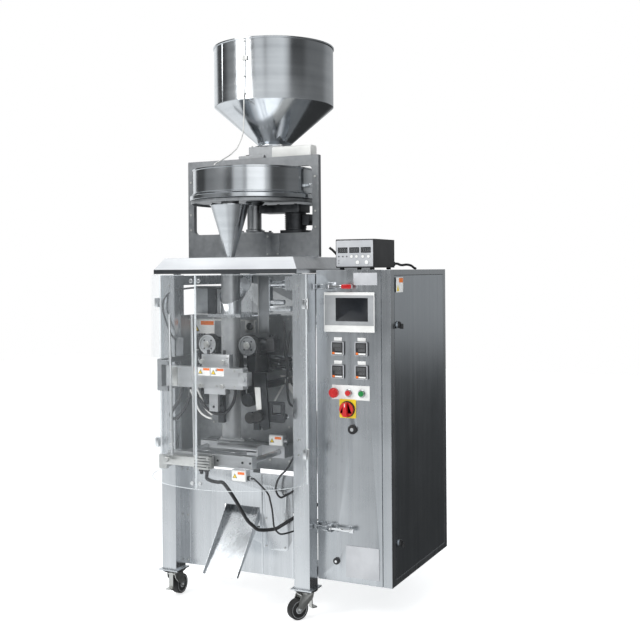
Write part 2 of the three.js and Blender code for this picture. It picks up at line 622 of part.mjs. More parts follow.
// ---------------------------------------------------------------- electrical cabinet
const SIDE_DOOR = { y0: 110, y1: 680, z0: 172, z1: 1338 };
const TEMPS = { x: [440, 540], z: [965, 1055] };

function cabinetShell() {
  const { x0, x1, y0, y1, z0, z1, door } = CAB;
  const t = 2.5;
  const outer = join(box(x0, x1, y0 + 8.3, y1, z0, z1), box(door + 2, x1, y0, y0 + 9, z0, z1));
  const inner = box(x0 + t, x1 - t, y0 + 11, y1 - t, z0 + t, z1 - t);
  const front = box(x0 + 16, door - 10, y0 - 5, y0 + 20, z0 + 14, z1 - 14);
  const { y0: a, y1: b, z0: c, z1: d } = SIDE_DOOR;
  return cut(outer, inner, front, box(x1 - 10, x1 + 5, a, b, c, d));
}
node("cabinet_shell", "steel", cabinetShell());

// A pan with cut-outs for the instruments, its locks, two blank plates and the latches' bases.
function cabinetDoor() {
  const { x0, y0, z0, z1, door } = CAB;
  const pan = cut(
    box(x0 + GAP, door - 1, y0, y0 + 8, z0 + GAP, z1 - GAP),
    box(x0 + 3, door - 3.5, y0 + 2, y0 + 9, z0 + 3, z1 - 3),
  );
  const plates = [box(508, 606, y0 - 1, y0 + 1, 1301, 1348), box(468, 606, y0 - 1, y0 + 1, 170, 292)];
  const locks = [bar("y", 17, y0 - 9, y0 + 1, 500, 743), bar("y", 12, y0 - 8, y0 + 1, 428, 226)];
  const bases = LATCH.z.map((z) => join(
    box(LATCH.x - 24, LATCH.x + 24, y0 - 6, y0 + 1, z - 16, z + 16),
    [z - 14, z + 11].map((a) => box(LATCH.x - 9, LATCH.x + 9, y0 - 30, y0 - 5, a, a + 3)),
    bar("z", 3, z - 13, z + 13, LATCH.x, LATCH.y),
    [z - 9, z + 6].map((a) => bar("x", 2.5, 352, LATCH.x - 8, y0 - 27, a + 1.5)),
    bar("z", 2.5, z - 10, z + 10, 352, y0 - 27),
    [z - 9, z + 6].map((a) => box(LATCH.x - 20, LATCH.x - 8, y0 - 30, y0 - 5, a, a + 3)),
  ));
  const holes = [box(400, 582, y0 - 5, y0 + 9, 1134, 1260)];
  for (const x of TEMPS.x) {
    for (const z of TEMPS.z) holes.push(box(x - 23, x + 23, y0 - 5, y0 + 9, z - 23, z + 23));
  }
  return cut(join(pan, plates, locks, bases), holes);
}

node("cabinet_door", "steel", cabinetDoor());

function sidePanel() {
  const { y0, y1, z0, z1 } = SIDE_DOOR;
  const x = CAB.x1;
  const skin = cut(
    box(x - 8, x, y0 + 1, y1 - 1, z0 + 1, z1 - 1),
    box(x - 9, x - 2, y0 + 3.5, y1 - 3.5, z0 + 3.5, z1 - 3.5),
  );
  const locks = [305, 1147].map((z) => join(
    bar("x", 13, x - 3, x + 5, 144, z), box(x + 4, x + 9, 140, 148, z - 10, z + 10),
  ));
  return join(skin, locks);
}
node("cabinet_side_panel", "satin", sidePanel());

function touchScreen() {
  const bezel = prism("y", roundRect(384, 598, 1119, 1274, 6), 62, CAB.y0 - GAP);
  const glass = box(402, 580, 61, 66, 1142, 1252);
  return join(cut(bezel, box(400, 582, 60, 64, 1140, 1254)), glass, box(402, 580, 66, 112, 1136, 1258));
}
node("touch_screen", "black", touchScreen());

// Four controllers with a blank tag over each; a strap behind the door holds them as one set.
function temperaturePanel() {
  const each = TEMPS.x.flatMap((x) => TEMPS.z.map((z) => join(
    prism("y", roundRect(x - 27, x + 27, z - 27, z + 27, 4), 62, CAB.y0 - GAP),
    box(x - 22, x + 22, 66, 140, z - 22, z + 22),
    box(x - 16, x + 16, 68, CAB.y0 - GAP, z + 26, z + 42),
  )));
  return join(each, box(TEMPS.x[0], TEMPS.x[1], 100, 103, TEMPS.z[0], TEMPS.z[1]));
}
node("temperature_panel", "black", temperaturePanel());

// The button plate with its collars, and the switch plate under it, each with a bore for its stem.
const BUTTONS = { z: 884, stop: 486, start: 542, emergency: 430 };
const SWITCH = { x: 480, z: 821, half: 34 };
function switchPlate() {
  const y = CAB.y0 - GAP;
  const { z, stop, start, emergency } = BUTTONS;
  const collars = [[emergency, 15], [stop, 14], [start, 14]].map(([x, r]) => bar("y", r, y - 9, y - 1, x, z));
  const stack = join(
    box(413, 572, y - 2, y, 857, 913), collars,
    prism("y", roundRect(SWITCH.x - 34, SWITCH.x + 34, SWITCH.z - 34, SWITCH.z + 37, 3), y - 3, y),
    bar("y", 21, y - 10, y - 2, SWITCH.x, SWITCH.z),
  );
  const bores = [emergency, stop, start].map((x) => bore("y", 8, y - 20, y + 5, x, z));
  return cut(stack, bores, bore("y", 7, y - 20, y + 5, SWITCH.x, SWITCH.z));
}
node("switch_plate", "white", switchPlate());

function button(x, rHead, y0, y1) {
  return join(bar("y", rHead, y0, y1, x, BUTTONS.z), bar("y", 8, y1 - 1, 63, x, BUTTONS.z));
}
node("emergency_stop", "red", join(
  button(BUTTONS.emergency, 20, 40, 54), bar("y", 15, 36.5, 41, BUTTONS.emergency, BUTTONS.z),
));
node("stop_button", "red", button(BUTTONS.stop, 11, 51, 56));
node("start_button", "green", button(BUTTONS.start, 11, 51, 56));

node("main_switch_handle", "red", join(
  bar("y", 29, 49, 59, SWITCH.x, SWITCH.z),
  prism("y", [[-9, -27], [9, -27], [7, 27], [-7, 27]].map(([u, v]) => [SWITCH.x + u, SWITCH.z + v]), 36, 50),
  bar("y", 7, 58, 68, SWITCH.x, SWITCH.z),
));

// A latch's lever turns on the base's pin; its fork-ended grip points to the right when shut.
for (const [name, z] of [["upper", LATCH.z[0]], ["lower", LATCH.z[1]]]) {
  const { x, y } = LATCH;
  const lever = cut(
    join(bar("z", 8, z - 4, z + 4, x, y), box(x + 2, x + 52, y - 3, y + 3, z - 4, z + 4)),
    bore("z", 3, z - 9, z + 9, x, y),
  );
  const grip = join(bar("x", 6.5, x + 50, x + 88, y, z), box(x + 84, x + 100, y - 5, y + 5, z - 8, z + 8));
  node(`latch_handle_${name}`, name === "upper" ? "red" : "steel", join(lever, grip));
}

function controlBox() {
  const [x0, x1, y0, y1, z0, z1] = [416, 581, 100, 313, 1368, 1480];
  const body = box(x0, x1, y0 + 6, y1, z0, z1);
  const face = box(x0 + 2, x1 - 2, y0, y0 + 7, z0 + 2, z1 - 2);
  const feet = [x0 + 18, x1 - 18].flatMap((x) =>
    [y0 + 24, y1 - 20].map((y) => bar("z", 9, CAB.z1 + GAP, z0 + 1, x, y)));
  return join(body, face, feet);
}
node("control_box", "black", controlBox());

// ---------------------------------------------------------------- film roll and its guide roller
function filmRoll() {
  const half = ROLL.w / 2;
  const shaft = bar("x", 12, -236, 236, ROLL.y, ROLL.z);
  const ends = (s) => (s > 0 ? [half, half + 20] : [-half - 20, -half]);
  const cones = bothSides((s) => bar("x", 44, ...ends(s), ROLL.y, ROLL.z));
  return join(bar("x", ROLL.r, -half, half, ROLL.y, ROLL.z), shaft, cones);
}
node("film_roll", "film", filmRoll());

node("guide_roller", "aluminium", join(
  bar("x", ROLLER.r, -ROLLER.w / 2, ROLLER.w / 2, ROLLER.y, ROLLER.z),
  bar("x", 8, -264, 264, ROLLER.y, ROLLER.z),
));

// ---------------------------------------------------------------- casters
// Built about the swivel axis with the wheel trailing along +x, then turned in place.
function casterFork() {
  const { wheel, width, trail } = CASTER;
  const half = width / 2 + 2;
  const top = POST.z0 - 5 - GAP;
  const tip = [[trail + 13, wheel + 7], [trail + 9, wheel - 10], [trail - 9, wheel - 10]];
  const cheek = [[-24, 98], [34, 98], ...tip, [-20, 80]];
  const cheeks = bothSides((s) => prism("y", cheek, s > 0 ? half : -half - 3, s > 0 ? half + 3 : -half));
  const crown = box(-24, 34, -half - 3, half + 3, 94, 98);
  const head = join(bar("z", 27, 97, 107, 0, 0), bar("z", 20, 106, top, 0, 0));
  const bracket = box(-24, -20, -10, 10, 36, 95);
  const brake = box(-42, -20, -14, 14, 34, 40);
  return join(cheeks, crown, head, bar("y", 5, -half - 4, half + 4, trail, wheel), bracket, brake);
}

function casterWheel() {
  const { wheel, width, trail } = CASTER;
  const half = width / 2;
  const hub = bar("y", 14, -half - 1.5, half + 1.5, trail, wheel);
  return cut(join(bar("y", wheel, -half, half, trail, wheel, 28), hub), bore("y", 5, -30, 30, trail, wheel));
}

const CASTERS = [
  ["front_left", CORNERS[0], 90], ["front_right", CORNERS[1], -120],
  ["rear_left", CORNERS[2], 60], ["rear_right", CORNERS[3], 110],
];
for (const [name, [x, y], turn] of CASTERS) {
  for (const part of [node(`caster_fork_${name}`, "chrome", casterFork()),
    node(`caster_wheel_${name}`, "rubber", casterWheel())]) {
    part.position.set(x, y, 0);
    part.rotation.z = (turn * Math.PI) / 180;
  }
}

// ---------------------------------------------------------------- cords
const HOSES = [
  [4, -197, 577.6], [4, -197, 562], [24, -190, 552], [46, -185, 549], [69, -180, 545],
  [96, -150, 486], [110, -126, 440], [125, -100, 392], [137, -76, 366], [150, -50, 345],
  [188, 0, 340], [209, 20, 351], [230, 42, 366], [252, 71, 382], [282, 105, 402], [316, 138, 420],
  [345.5, 140, 420],
];
const JAW_CABLE = [
  [196.5, -189, 576], [208, -189, 575], [224, -172, 552], [233, -128, 510], [231, -106, 475],
  [226, -84, 440], [216, -58, 398], [206, -32, 358], [208, -12, 335], [214, 6, 322], [226, 25, 321],
  [240, 44, 324], [262, 71, 332], [292, 100, 350], [320, 115, 363.5], [345.4, 116, 364],
];
const HOPPER_CABLE = [
  [4, 102.3, 2320], [4, 102.4, 2280], [4, 102.5, 2240], [3, 102.7, 2195], [3, 103, 2150],
  [2, 104, 2110], [2, 106, 2070], [0, 109, 2030], [-2, 112, 1990], [-8, 112, 1925], [-20, 90, 1870],
  [-25, 66, 1848], [-30, 40, 1830], [-36, -20, 1802], [-38, -50, 1790], [-38, -61, 1784],
];
node("hose_bundle", "black", cordSolid(HOSES, 7, 10));
node("jaw_cable", "black", cordSolid(JAW_CABLE, 3.5, 8));
node("hopper_cable", "white", cordSolid(HOPPER_CABLE, 2.5, 8));

// ---------------------------------------------------------------- origin: centre of the footprint
const extent = new THREE.Box3().setFromObject(machine);
const middle = extent.getCenter(new THREE.Vector3());
machine.position.set(-middle.x, -middle.y, -extent.min.z);
machine.updateMatrixWorld(true);

export default machine;
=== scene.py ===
"""Looks of a vertical form fill sealer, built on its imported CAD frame.

Sizes are in millimetres in the machine's own frame: x across from the forming tube's plane, y to
the rear from the front posts, z up. at() turns them into the row frame's metres.
"""

import json
import math

import bmesh
import bpy
from mathutils import Matrix, Quaternion, Vector

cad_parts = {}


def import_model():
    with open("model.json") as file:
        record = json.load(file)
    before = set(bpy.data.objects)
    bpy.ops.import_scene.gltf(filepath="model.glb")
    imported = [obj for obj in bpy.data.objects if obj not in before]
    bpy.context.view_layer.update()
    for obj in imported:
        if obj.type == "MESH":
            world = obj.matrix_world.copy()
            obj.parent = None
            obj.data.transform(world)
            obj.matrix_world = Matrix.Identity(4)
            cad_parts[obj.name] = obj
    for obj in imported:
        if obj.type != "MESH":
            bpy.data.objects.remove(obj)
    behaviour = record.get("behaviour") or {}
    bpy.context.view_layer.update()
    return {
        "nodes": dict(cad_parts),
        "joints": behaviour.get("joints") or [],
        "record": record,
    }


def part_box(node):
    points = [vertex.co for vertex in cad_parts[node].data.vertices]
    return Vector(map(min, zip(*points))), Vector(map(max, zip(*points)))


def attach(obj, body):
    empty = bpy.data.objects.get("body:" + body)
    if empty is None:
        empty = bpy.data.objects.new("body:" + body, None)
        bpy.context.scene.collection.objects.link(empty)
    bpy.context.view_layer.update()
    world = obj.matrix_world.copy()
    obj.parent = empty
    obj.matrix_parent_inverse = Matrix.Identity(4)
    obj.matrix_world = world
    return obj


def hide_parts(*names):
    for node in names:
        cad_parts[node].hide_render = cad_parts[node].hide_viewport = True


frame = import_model()
scene = bpy.context.scene

# ------------------------------------------------------------------ machine frame
CABINET = {"x0": 346, "x1": 660, "y0": 70, "y1": 713, "z0": 147, "z1": 1360, "door": 621}
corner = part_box("cabinet_shell")[1]
SHIFT = Vector((corner.x - CABINET["x1"] / 1000, corner.y - CABINET["y1"] / 1000, 0))


def at(x, y, z):
    return Vector((x, y, z)) / 1000 + SHIFT


# ------------------------------------------------------------------ camera
EYE = (2059, -3407, 1360)
AZIMUTH = math.radians(26)
camera = bpy.data.objects.new("camera", bpy.data.cameras.new("camera"))
scene.collection.objects.link(camera)
camera.data.sensor_width = 36
camera.data.lens = 55.4
camera.data.shift_y = -0.078
camera.location = at(*EYE)
camera.rotation_euler = (math.radians(90), math.radians(0.4), AZIMUTH)
scene.camera = camera

# ------------------------------------------------------------------ materials
MATERIALS = {}


class Nodes:
    """A short way to wire a material's node tree."""

    def __init__(self, name):
        self.material = bpy.data.materials.new(name)
        self.material.use_nodes = True
        self.tree = self.material.node_tree
        self.shader = self.tree.nodes["Principled BSDF"]
        self.coords = self.tree.nodes.new("ShaderNodeTexCoord").outputs["Object"]

    def add(self, kind, inputs=(), **settings):
        node = self.tree.nodes.new("ShaderNode" + kind)
        for key, value in settings.items():
            setattr(node, key, value)
        for key, value in dict(inputs).items():
            if isinstance(value, bpy.types.NodeSocket):
                self.tree.links.new(value, node.inputs[key])
            else:
                node.inputs[key].default_value = value
        return node

    def noise(self, scale, detail=3, stretch=(1, 1, 1), rough=0.55):
        place = self.add("Mapping", {"Vector": self.coords, "Scale": stretch})
        return self.add("TexNoise", {"Vector": place.outputs[0], "Scale": scale, "Detail": detail,
                                     "Roughness": rough}).outputs["Fac"]

    def ramp(self, value, low, high, start=0.35, stop=0.65):
        node = self.add("ValToRGB", {"Fac": value})
        node.color_ramp.elements[0].position = start
        node.color_ramp.elements[1].position = stop
        node.color_ramp.elements[0].color = (*low, 1)
        node.color_ramp.elements[1].color = (*high, 1)
        return node.outputs["Color"]

    def spread(self, value, low, high):
        return self.add("MapRange", {"Value": value, "From Min": 0.3, "From Max": 0.7,
                                     "To Min": low, "To Max": high}).outputs["Result"]

    def bump(self, value, strength, distance=0.0004):
        return self.add("Bump", {"Height": value, "Strength": strength, "Distance": distance}).outputs["Normal"]

    def link(self, value, socket):
        self.tree.links.new(value, self.shader.inputs[socket])

    def set(self, **values):
        for key, value in values.items():
            self.shader.inputs[key.replace("_", " ").title()].default_value = value


def metal(name, dark, light, rough=(0.22, 0.38), grain=(1, 1, 40), lines=0.05, metallic=1.0):
    """Brushed or polished metal: fine lines along the grain, with cloudy wear over them."""
    n = Nodes(name)
    brushed = n.noise(45, 4, grain)
    cloud = n.noise(5, 3)
    mixed = n.add("Math", {0: brushed, 1: cloud}, operation="ADD").outputs[0]
    half = n.add("Math", {0: mixed, 1: 0.5}, operation="MULTIPLY").outputs[0]
    n.link(n.ramp(half, dark, light), "Base Color")
    n.link(n.spread(half, *rough), "Roughness")
    n.link(n.bump(brushed, lines), "Normal")
    n.shader.inputs["Metallic"].default_value = metallic
    MATERIALS[name] = n.material
    return n


def plastic(name, dark, light, rough=(0.35, 0.5), bumps=0.06, scale=260, coat=0.0):
    """Moulded plastic, paint or rubber: a fine skin with a faint change of colour and gloss."""
    n = Nodes(name)
    cloud = n.noise(9, 4)
    skin = n.noise(scale, 2)
    n.link(n.ramp(cloud, dark, light), "Base Color")
    n.link(n.spread(cloud, *rough), "Roughness")
    n.link(n.bump(skin, bumps, 0.0002), "Normal")
    n.shader.inputs["Coat Weight"].default_value = coat
    MATERIALS[name] = n.material
    return n


def clear(name, tint, rough, edge):
    """Thin clear sheet: mostly let through, with a plain gloss that rises at glancing angles."""
    n = Nodes(name)
    n.shader.inputs["Base Color"].default_value = (*tint, 1)
    n.link(n.spread(n.noise(6, 3), rough, rough + 0.06), "Roughness")
    glance = n.add("LayerWeight", {"Blend": 0.25}).outputs["Facing"]
    n.link(n.add("MapRange", {"Value": glance, "To Min": edge[0], "To Max": edge[1]}).outputs["Result"], "Alpha")
    n.material.surface_render_method = "BLENDED"
    MATERIALS[name] = n.material
    return n


def make_materials():
    metal("steel", (0.58, 0.6, 0.62), (0.74, 0.76, 0.78), (0.2, 0.32), (1, 1, 0.03), 0.03)
    metal("steel_across", (0.62, 0.63, 0.65), (0.78, 0.79, 0.8), (0.26, 0.4), (0.03, 1, 1), 0.03)
    metal("steel_round", (0.5, 0.52, 0.54), (0.66, 0.68, 0.7), (0.13, 0.2), (0.02, 0.02, 0.6), 0.01)
    metal("cabinet_steel", (0.46, 0.48, 0.5), (0.6, 0.62, 0.64), (0.22, 0.34), (1, 1, 0.02), 0.03)
    metal("side_steel", (0.46, 0.49, 0.52), (0.56, 0.59, 0.62), (0.16, 0.24), (1, 1, 0.02), 0.02)
    metal("stand_steel", (0.24, 0.25, 0.26), (0.32, 0.33, 0.34), (0.3, 0.42), (1, 1, 1), 0.05)
    # painted shade: a near-black copy of the brushed hood steel, so that the hood's front lip shows dark
    metal("shaded_lip_steel", (0.1, 0.105, 0.11), (0.14, 0.146, 0.155), (0.3, 0.4), (0.03, 1, 1), 0.03)
    metal("satin", (0.3, 0.31, 0.32), (0.44, 0.45, 0.46), (0.35, 0.5), (1, 1, 1), 0.08)
    metal("zinc", (0.5, 0.5, 0.48), (0.72, 0.72, 0.7), (0.25, 0.42), (1, 1, 1), 0.1)
    metal("chrome", (0.7, 0.71, 0.72), (0.85, 0.86, 0.87), (0.06, 0.16), (1, 1, 1), 0.02)
    metal("aluminium", (0.55, 0.56, 0.57), (0.72, 0.73, 0.74), (0.34, 0.48), (0.05, 1, 1), 0.08)
    metal("gunmetal", (0.04, 0.042, 0.045), (0.1, 0.103, 0.108), (0.35, 0.5), (1, 1, 1), 0.1)
    plastic("black", (0.012, 0.012, 0.013), (0.03, 0.03, 0.032), (0.3, 0.5))
    plastic("rubber", (0.01, 0.01, 0.011), (0.028, 0.027, 0.026), (0.6, 0.8), 0.15, 160)
    plastic("belt_rubber", (0.012, 0.012, 0.012), (0.03, 0.03, 0.03), (0.55, 0.7), 0.3, 90)
    plastic("cord_black", (0.01, 0.01, 0.012), (0.025, 0.025, 0.027), (0.35, 0.5), 0.05)
    plastic("cord_white", (0.6, 0.6, 0.58), (0.78, 0.78, 0.76), (0.35, 0.5), 0.05)
    plastic("white", (0.68, 0.68, 0.66), (0.82, 0.82, 0.8), (0.3, 0.45))
    plastic("label", (0.72, 0.72, 0.7), (0.85, 0.85, 0.84), (0.4, 0.55), 0.02)
    plastic("grey_paint", (0.3, 0.31, 0.32), (0.4, 0.41, 0.42), (0.4, 0.5))
    plastic("red", (0.42, 0.006, 0.008), (0.62, 0.015, 0.015), (0.22, 0.36), 0.03, coat=0.3)
    plastic("green", (0.004, 0.16, 0.03), (0.01, 0.28, 0.06), (0.22, 0.36), 0.03, coat=0.3)
    plastic("yellow", (0.72, 0.5, 0.01), (0.85, 0.62, 0.02), (0.32, 0.45), 0.03)
    plastic("orange", (0.7, 0.12, 0.01), (0.85, 0.2, 0.02), (0.4, 0.5), 0.02)
    plastic("screen", (0.006, 0.007, 0.009), (0.014, 0.016, 0.02), (0.06, 0.14), 0.0, coat=0.5)
    plastic("panel_silver", (0.42, 0.43, 0.45), (0.52, 0.53, 0.55), (0.35, 0.45), 0.03)
    plastic("digit_dim", (0.16, 0.165, 0.17), (0.22, 0.225, 0.23), (0.3, 0.4), 0.0)
    plastic("grey_film", (0.5, 0.51, 0.52), (0.7, 0.71, 0.72), (0.14, 0.26), 0.04)
    n = plastic("floor", (0.9, 0.9, 0.9), (0.94, 0.94, 0.94), (0.6, 0.7), 0.0)
    n.shader.inputs["Emission Color"].default_value = (1, 1, 1, 1)
    n.shader.inputs["Emission Strength"].default_value = 0.62
    clear("acrylic", (0.8, 0.86, 0.9), 0.02, (0.015, 0.16))
    clear("acrylic_edge", (0.86, 0.9, 0.92), 0.2, (0.6, 0.85))
    clear("film_clear", (0.75, 0.77, 0.78), 0.12, (0.16, 0.6))


make_materials()


# ------------------------------------------------------------------ building in mm
def basis(axis):
    """Rotation that stands a shape made along +Z on the given axis."""
    if axis == "x":
        return Matrix.Rotation(math.pi / 2, 4, "Y")
    if axis == "y":
        return Matrix.Rotation(-math.pi / 2, 4, "X")
    return Matrix.Identity(4)


class Kit:
    """Gathers shapes of one material on one body into one mesh."""

    def __init__(self, name, body, material):
        self.name, self.body, self.material = name, body, material
        self.bm = bmesh.new()

    def _take(self, part, matrix=None):
        if matrix is not None:
            bmesh.ops.transform(part, matrix=matrix, verts=part.verts)
        mesh = bpy.data.meshes.new("part")
        part.to_mesh(mesh)
        part.free()
        self.bm.from_mesh(mesh)
        bpy.data.meshes.remove(mesh)
        return self

    def box(self, x0, x1, y0, y1, z0, z1, r=1.0, turn=None):
        part = bmesh.new()
        bmesh.ops.create_cube(part, size=1)
        size = Matrix.Diagonal((x1 - x0, y1 - y0, z1 - z0, 1))
        bmesh.ops.transform(part, matrix=size, verts=part.verts)
        r = min(r, 0.45 * min(x1 - x0, y1 - y0, z1 - z0))
        if r > 0.05:
            bmesh.ops.bevel(part, geom=part.edges[:], offset=r, segments=2, profile=0.6, affect="EDGES")
        move = Matrix.Translation(((x0 + x1) / 2, (y0 + y1) / 2, (z0 + z1) / 2))
        return self._take(part, move @ turn if turn else move)

    def ring(self, axis, centre, profile, sides=48, turn=None):
        """A turned shape: profile is (radius, distance along the axis) pairs, capped where it meets r = 0."""
        part = bmesh.new()
        rings = []
        for r, d in profile:
            if r < 1e-6:
                rings.append([part.verts.new((0, 0, d))])
            else:
                rings.append([part.verts.new((r * math.cos(t), r * math.sin(t), d))
                              for t in (2 * math.pi * i / sides for i in range(sides))])
        for low, high in zip(rings, rings[1:]):
            for i in range(sides):
                j = (i + 1) % sides
                quad = [low[i % len(low)], low[j % len(low)], high[j % len(high)], high[i % len(high)]]
                face = list(dict.fromkeys(quad))
                if len(face) > 2:
                    part.faces.new(face)
        bmesh.ops.recalc_face_normals(part, faces=part.faces)
        place = Matrix.Translation(centre) @ (turn if turn else basis(axis))
        return self._take(part, place)

    def cyl(self, axis, r, a, b, c, d, chamfer=1.0, sides=32):
        """A round bar from a to b along an axis, with chamfered ends; c and d place it, in x, y, z order."""
        k = min(chamfer, r * 0.4, (b - a) * 0.4)
        profile = [(0, a), (r - k, a), (r, a + k), (r, b - k), (r - k, b), (0, b)]
        centre = {"x": (0, c, d), "y": (c, 0, d), "z": (c, d, 0)}[axis]
        return self.ring(axis, centre, profile, sides)

    def hexagon(self, axis, r, a, b, c, d):
        return self.cyl(axis, r, a, b, c, d, 0.8, 6)

    def wire(self, points, r, sides=10):
        """A round rod or cable through points, smoothed."""
        path = smooth_path(points)
        part = bmesh.new()
        rings = []
        side = None
        for i, p in enumerate(path):
            ahead = path[min(i + 1, len(path) - 1)] - path[max(i - 1, 0)]
            ahead.normalize()
            if side is None:
                side = ahead.orthogonal().normalized()
            side = (side - ahead * side.dot(ahead)).normalized()
            up = ahead.cross(side)
            rings.append([part.verts.new(p + (side * math.cos(t) + up * math.sin(t)) * r)
                          for t in (2 * math.pi * k / sides for k in range(sides))])
        for low, high in zip(rings, rings[1:]):
            for k in range(sides):
                part.faces.new((low[k], low[(k + 1) % sides], high[(k + 1) % sides], high[k]))
        part.faces.new(rings[0][::-1])
        part.faces.new(rings[-1])
        return self._take(part)

    def slab(self, outline, axis, a, b, r=0.8):
        """A flat outline pushed from a to b along an axis; outline holds the other two coordinates."""
        part = bmesh.new()
        order = {
            "x": lambda u, v, w: (w, u, v),
            "y": lambda u, v, w: (u, w, v),
            "z": lambda u, v, w: (u, v, w),
        }
        put = order[axis]
        low = [part.verts.new(put(u, v, a)) for u, v in outline]
        high = [part.verts.new(put(u, v, b)) for u, v in outline]
        part.faces.new(low)
        part.faces.new(high[::-1])
        for i in range(len(outline)):
            j = (i + 1) % len(outline)
            part.faces.new((low[j], low[i], high[i], high[j]))
        bmesh.ops.recalc_face_normals(part, faces=part.faces)
        if r > 0.05:
            rim = [e for e in part.edges if e.calc_face_angle(0) > 0.6]
            offset = min(r, 0.4 * abs(b - a))
            bmesh.ops.bevel(part, geom=rim, offset=offset, segments=2, profile=0.6, affect="EDGES")
        return self._take(part)

    def done(self, replaces=(), smooth=38, slot=None):
        place = Matrix.Translation(SHIFT) @ Matrix.Scale(0.001, 4)
        bmesh.ops.transform(self.bm, matrix=place, verts=self.bm.verts)
        mesh = bpy.data.meshes.new(self.name)
        self.bm.to_mesh(mesh)
        self.bm.free()
        mesh.materials.append(MATERIALS[self.material])
        mesh.shade_smooth()
        mesh.set_sharp_from_angle(angle=math.radians(smooth))
        piece = bpy.data.objects.new(self.name, mesh)
        scene.collection.objects.link(piece)
        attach(piece, self.body)
        if replaces:
            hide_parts(*([replaces] if isinstance(replaces, str) else replaces))
        return piece


def smooth_path(points, each=6):
    """A Catmull-Rom curve through the points."""
    pts = [Vector(p) for p in points]
    ends = [pts[0] * 2 - pts[1], *pts, pts[-1] * 2 - pts[-2]]
    out = []
    for a, b, c, d in zip(ends, ends[1:], ends[2:], ends[3:]):
        for k in range(each):
            t = k / each
            out.append(0.5 * ((2 * b) + (c - a) * t + (2 * a - 5 * b + 4 * c - d) * t * t
                              + (3 * b - a - 3 * c + d) * t ** 3))
    return [*out, pts[-1]]


def rounded(x0, x1, z0, z1, r, steps=4):
    """Corner points of a rectangle with round corners."""
    out = []
    arcs = ((x1 - r, z0 + r, -90), (x1 - r, z1 - r, 0), (x0 + r, z1 - r, 90), (x0 + r, z0 + r, 180))
    for cx, cz, start in arcs:
        for i in range(steps + 1):
            t = math.radians(start + 90 * i / steps)
            out.append((cx + r * math.cos(t), cz + r * math.sin(t)))
    return out


def dress(node, material, bevel=0.8, smooth=32):
    """Stands a welded, softly edged copy of a CAD node in for it; smooth 0 keeps its faces flat."""
    source = frame["nodes"][node]
    body = next(b for b, names in frame["record"]["behaviour"]["bodies"].items() if node in names)
    bm = bmesh.new()
    bm.from_mesh(source.data)
    bmesh.ops.remove_doubles(bm, verts=bm.verts, dist=2e-5)
    if smooth:
        bmesh.ops.dissolve_limit(bm, angle_limit=math.radians(1.0), verts=bm.verts, edges=bm.edges)
    mesh = bpy.data.meshes.new(node + "_look")
    bm.to_mesh(mesh)
    bm.free()
    mesh.materials.clear()
    mesh.materials.append(MATERIALS[material])
    if smooth:
        mesh.shade_smooth()
        mesh.set_sharp_from_angle(angle=math.radians(smooth))
    else:
        mesh.shade_flat()
    piece = bpy.data.objects.new(node + "_look", mesh)
    scene.collection.objects.link(piece)
    if bevel:
        edge = piece.modifiers.new("soft edges", "BEVEL")
        edge.width = bevel / 1000
        edge.segments = 2
        edge.limit_method = "ANGLE"
        edge.angle_limit = math.radians(max(smooth, 40) + 8)
        edge.use_clamp_overlap = True
        edge.harden_normals = True
    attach(piece, body)
    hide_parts(node)
    return piece


# ------------------------------------------------------------------ cords
HOSES = [
    (4, -197, 577.6), (4, -197, 562), (24, -190, 552), (46, -185, 549), (69, -180, 545),
    (96, -150, 486), (110, -126, 440), (125, -100, 392), (137, -76, 366), (150, -50, 345),
    (188, 0, 340), (209, 20, 351), (230, 42, 366), (252, 71, 382), (282, 105, 402), (316, 138, 420),
    (345.5, 140, 420),
]
JAW_CABLE = [
    (196.5, -189, 576), (208, -189, 575), (224, -172, 552), (233, -128, 510), (231, -106, 475),
    (226, -84, 440), (216, -58, 398), (206, -32, 358), (208, -12, 335), (214, 6, 322), (226, 25, 321),
    (240, 44, 324), (262, 71, 332), (292, 100, 350), (320, 115, 363.5), (345.4, 116, 364),
]
HOPPER_CABLE = [
    (4, 102.3, 2320), (4, 102.4, 2280), (4, 102.5, 2240), (3, 102.7, 2195), (3, 103, 2150),
    (2, 104, 2110), (2, 106, 2070), (0, 109, 2030), (-2, 112, 1990), (-8, 112, 1925), (-20, 90, 1870),
    (-25, 66, 1848), (-30, 40, 1830), (-36, -20, 1802), (-38, -50, 1790), (-38, -61, 1784),
]


def cord(name, points, r, material, node):
    """A free cord on its CAD route, as one mesh tube with the path that it follows."""
    piece = Kit(name, "base", material).wire(points, r, 12).done(node)
    path = [at(*p) for p in smooth_path(points)]
    length = sum((b - a).length for a, b in zip(path, path[1:]))
    return length


cord("hoses", HOSES, 7, "cord_black", "hose_bundle")
cord("jaw_lead", JAW_CABLE, 3.5, "cord_black", "jaw_cable")
cord("hopper_lead", HOPPER_CABLE, 2.5, "cord_white", "hopper_cable")


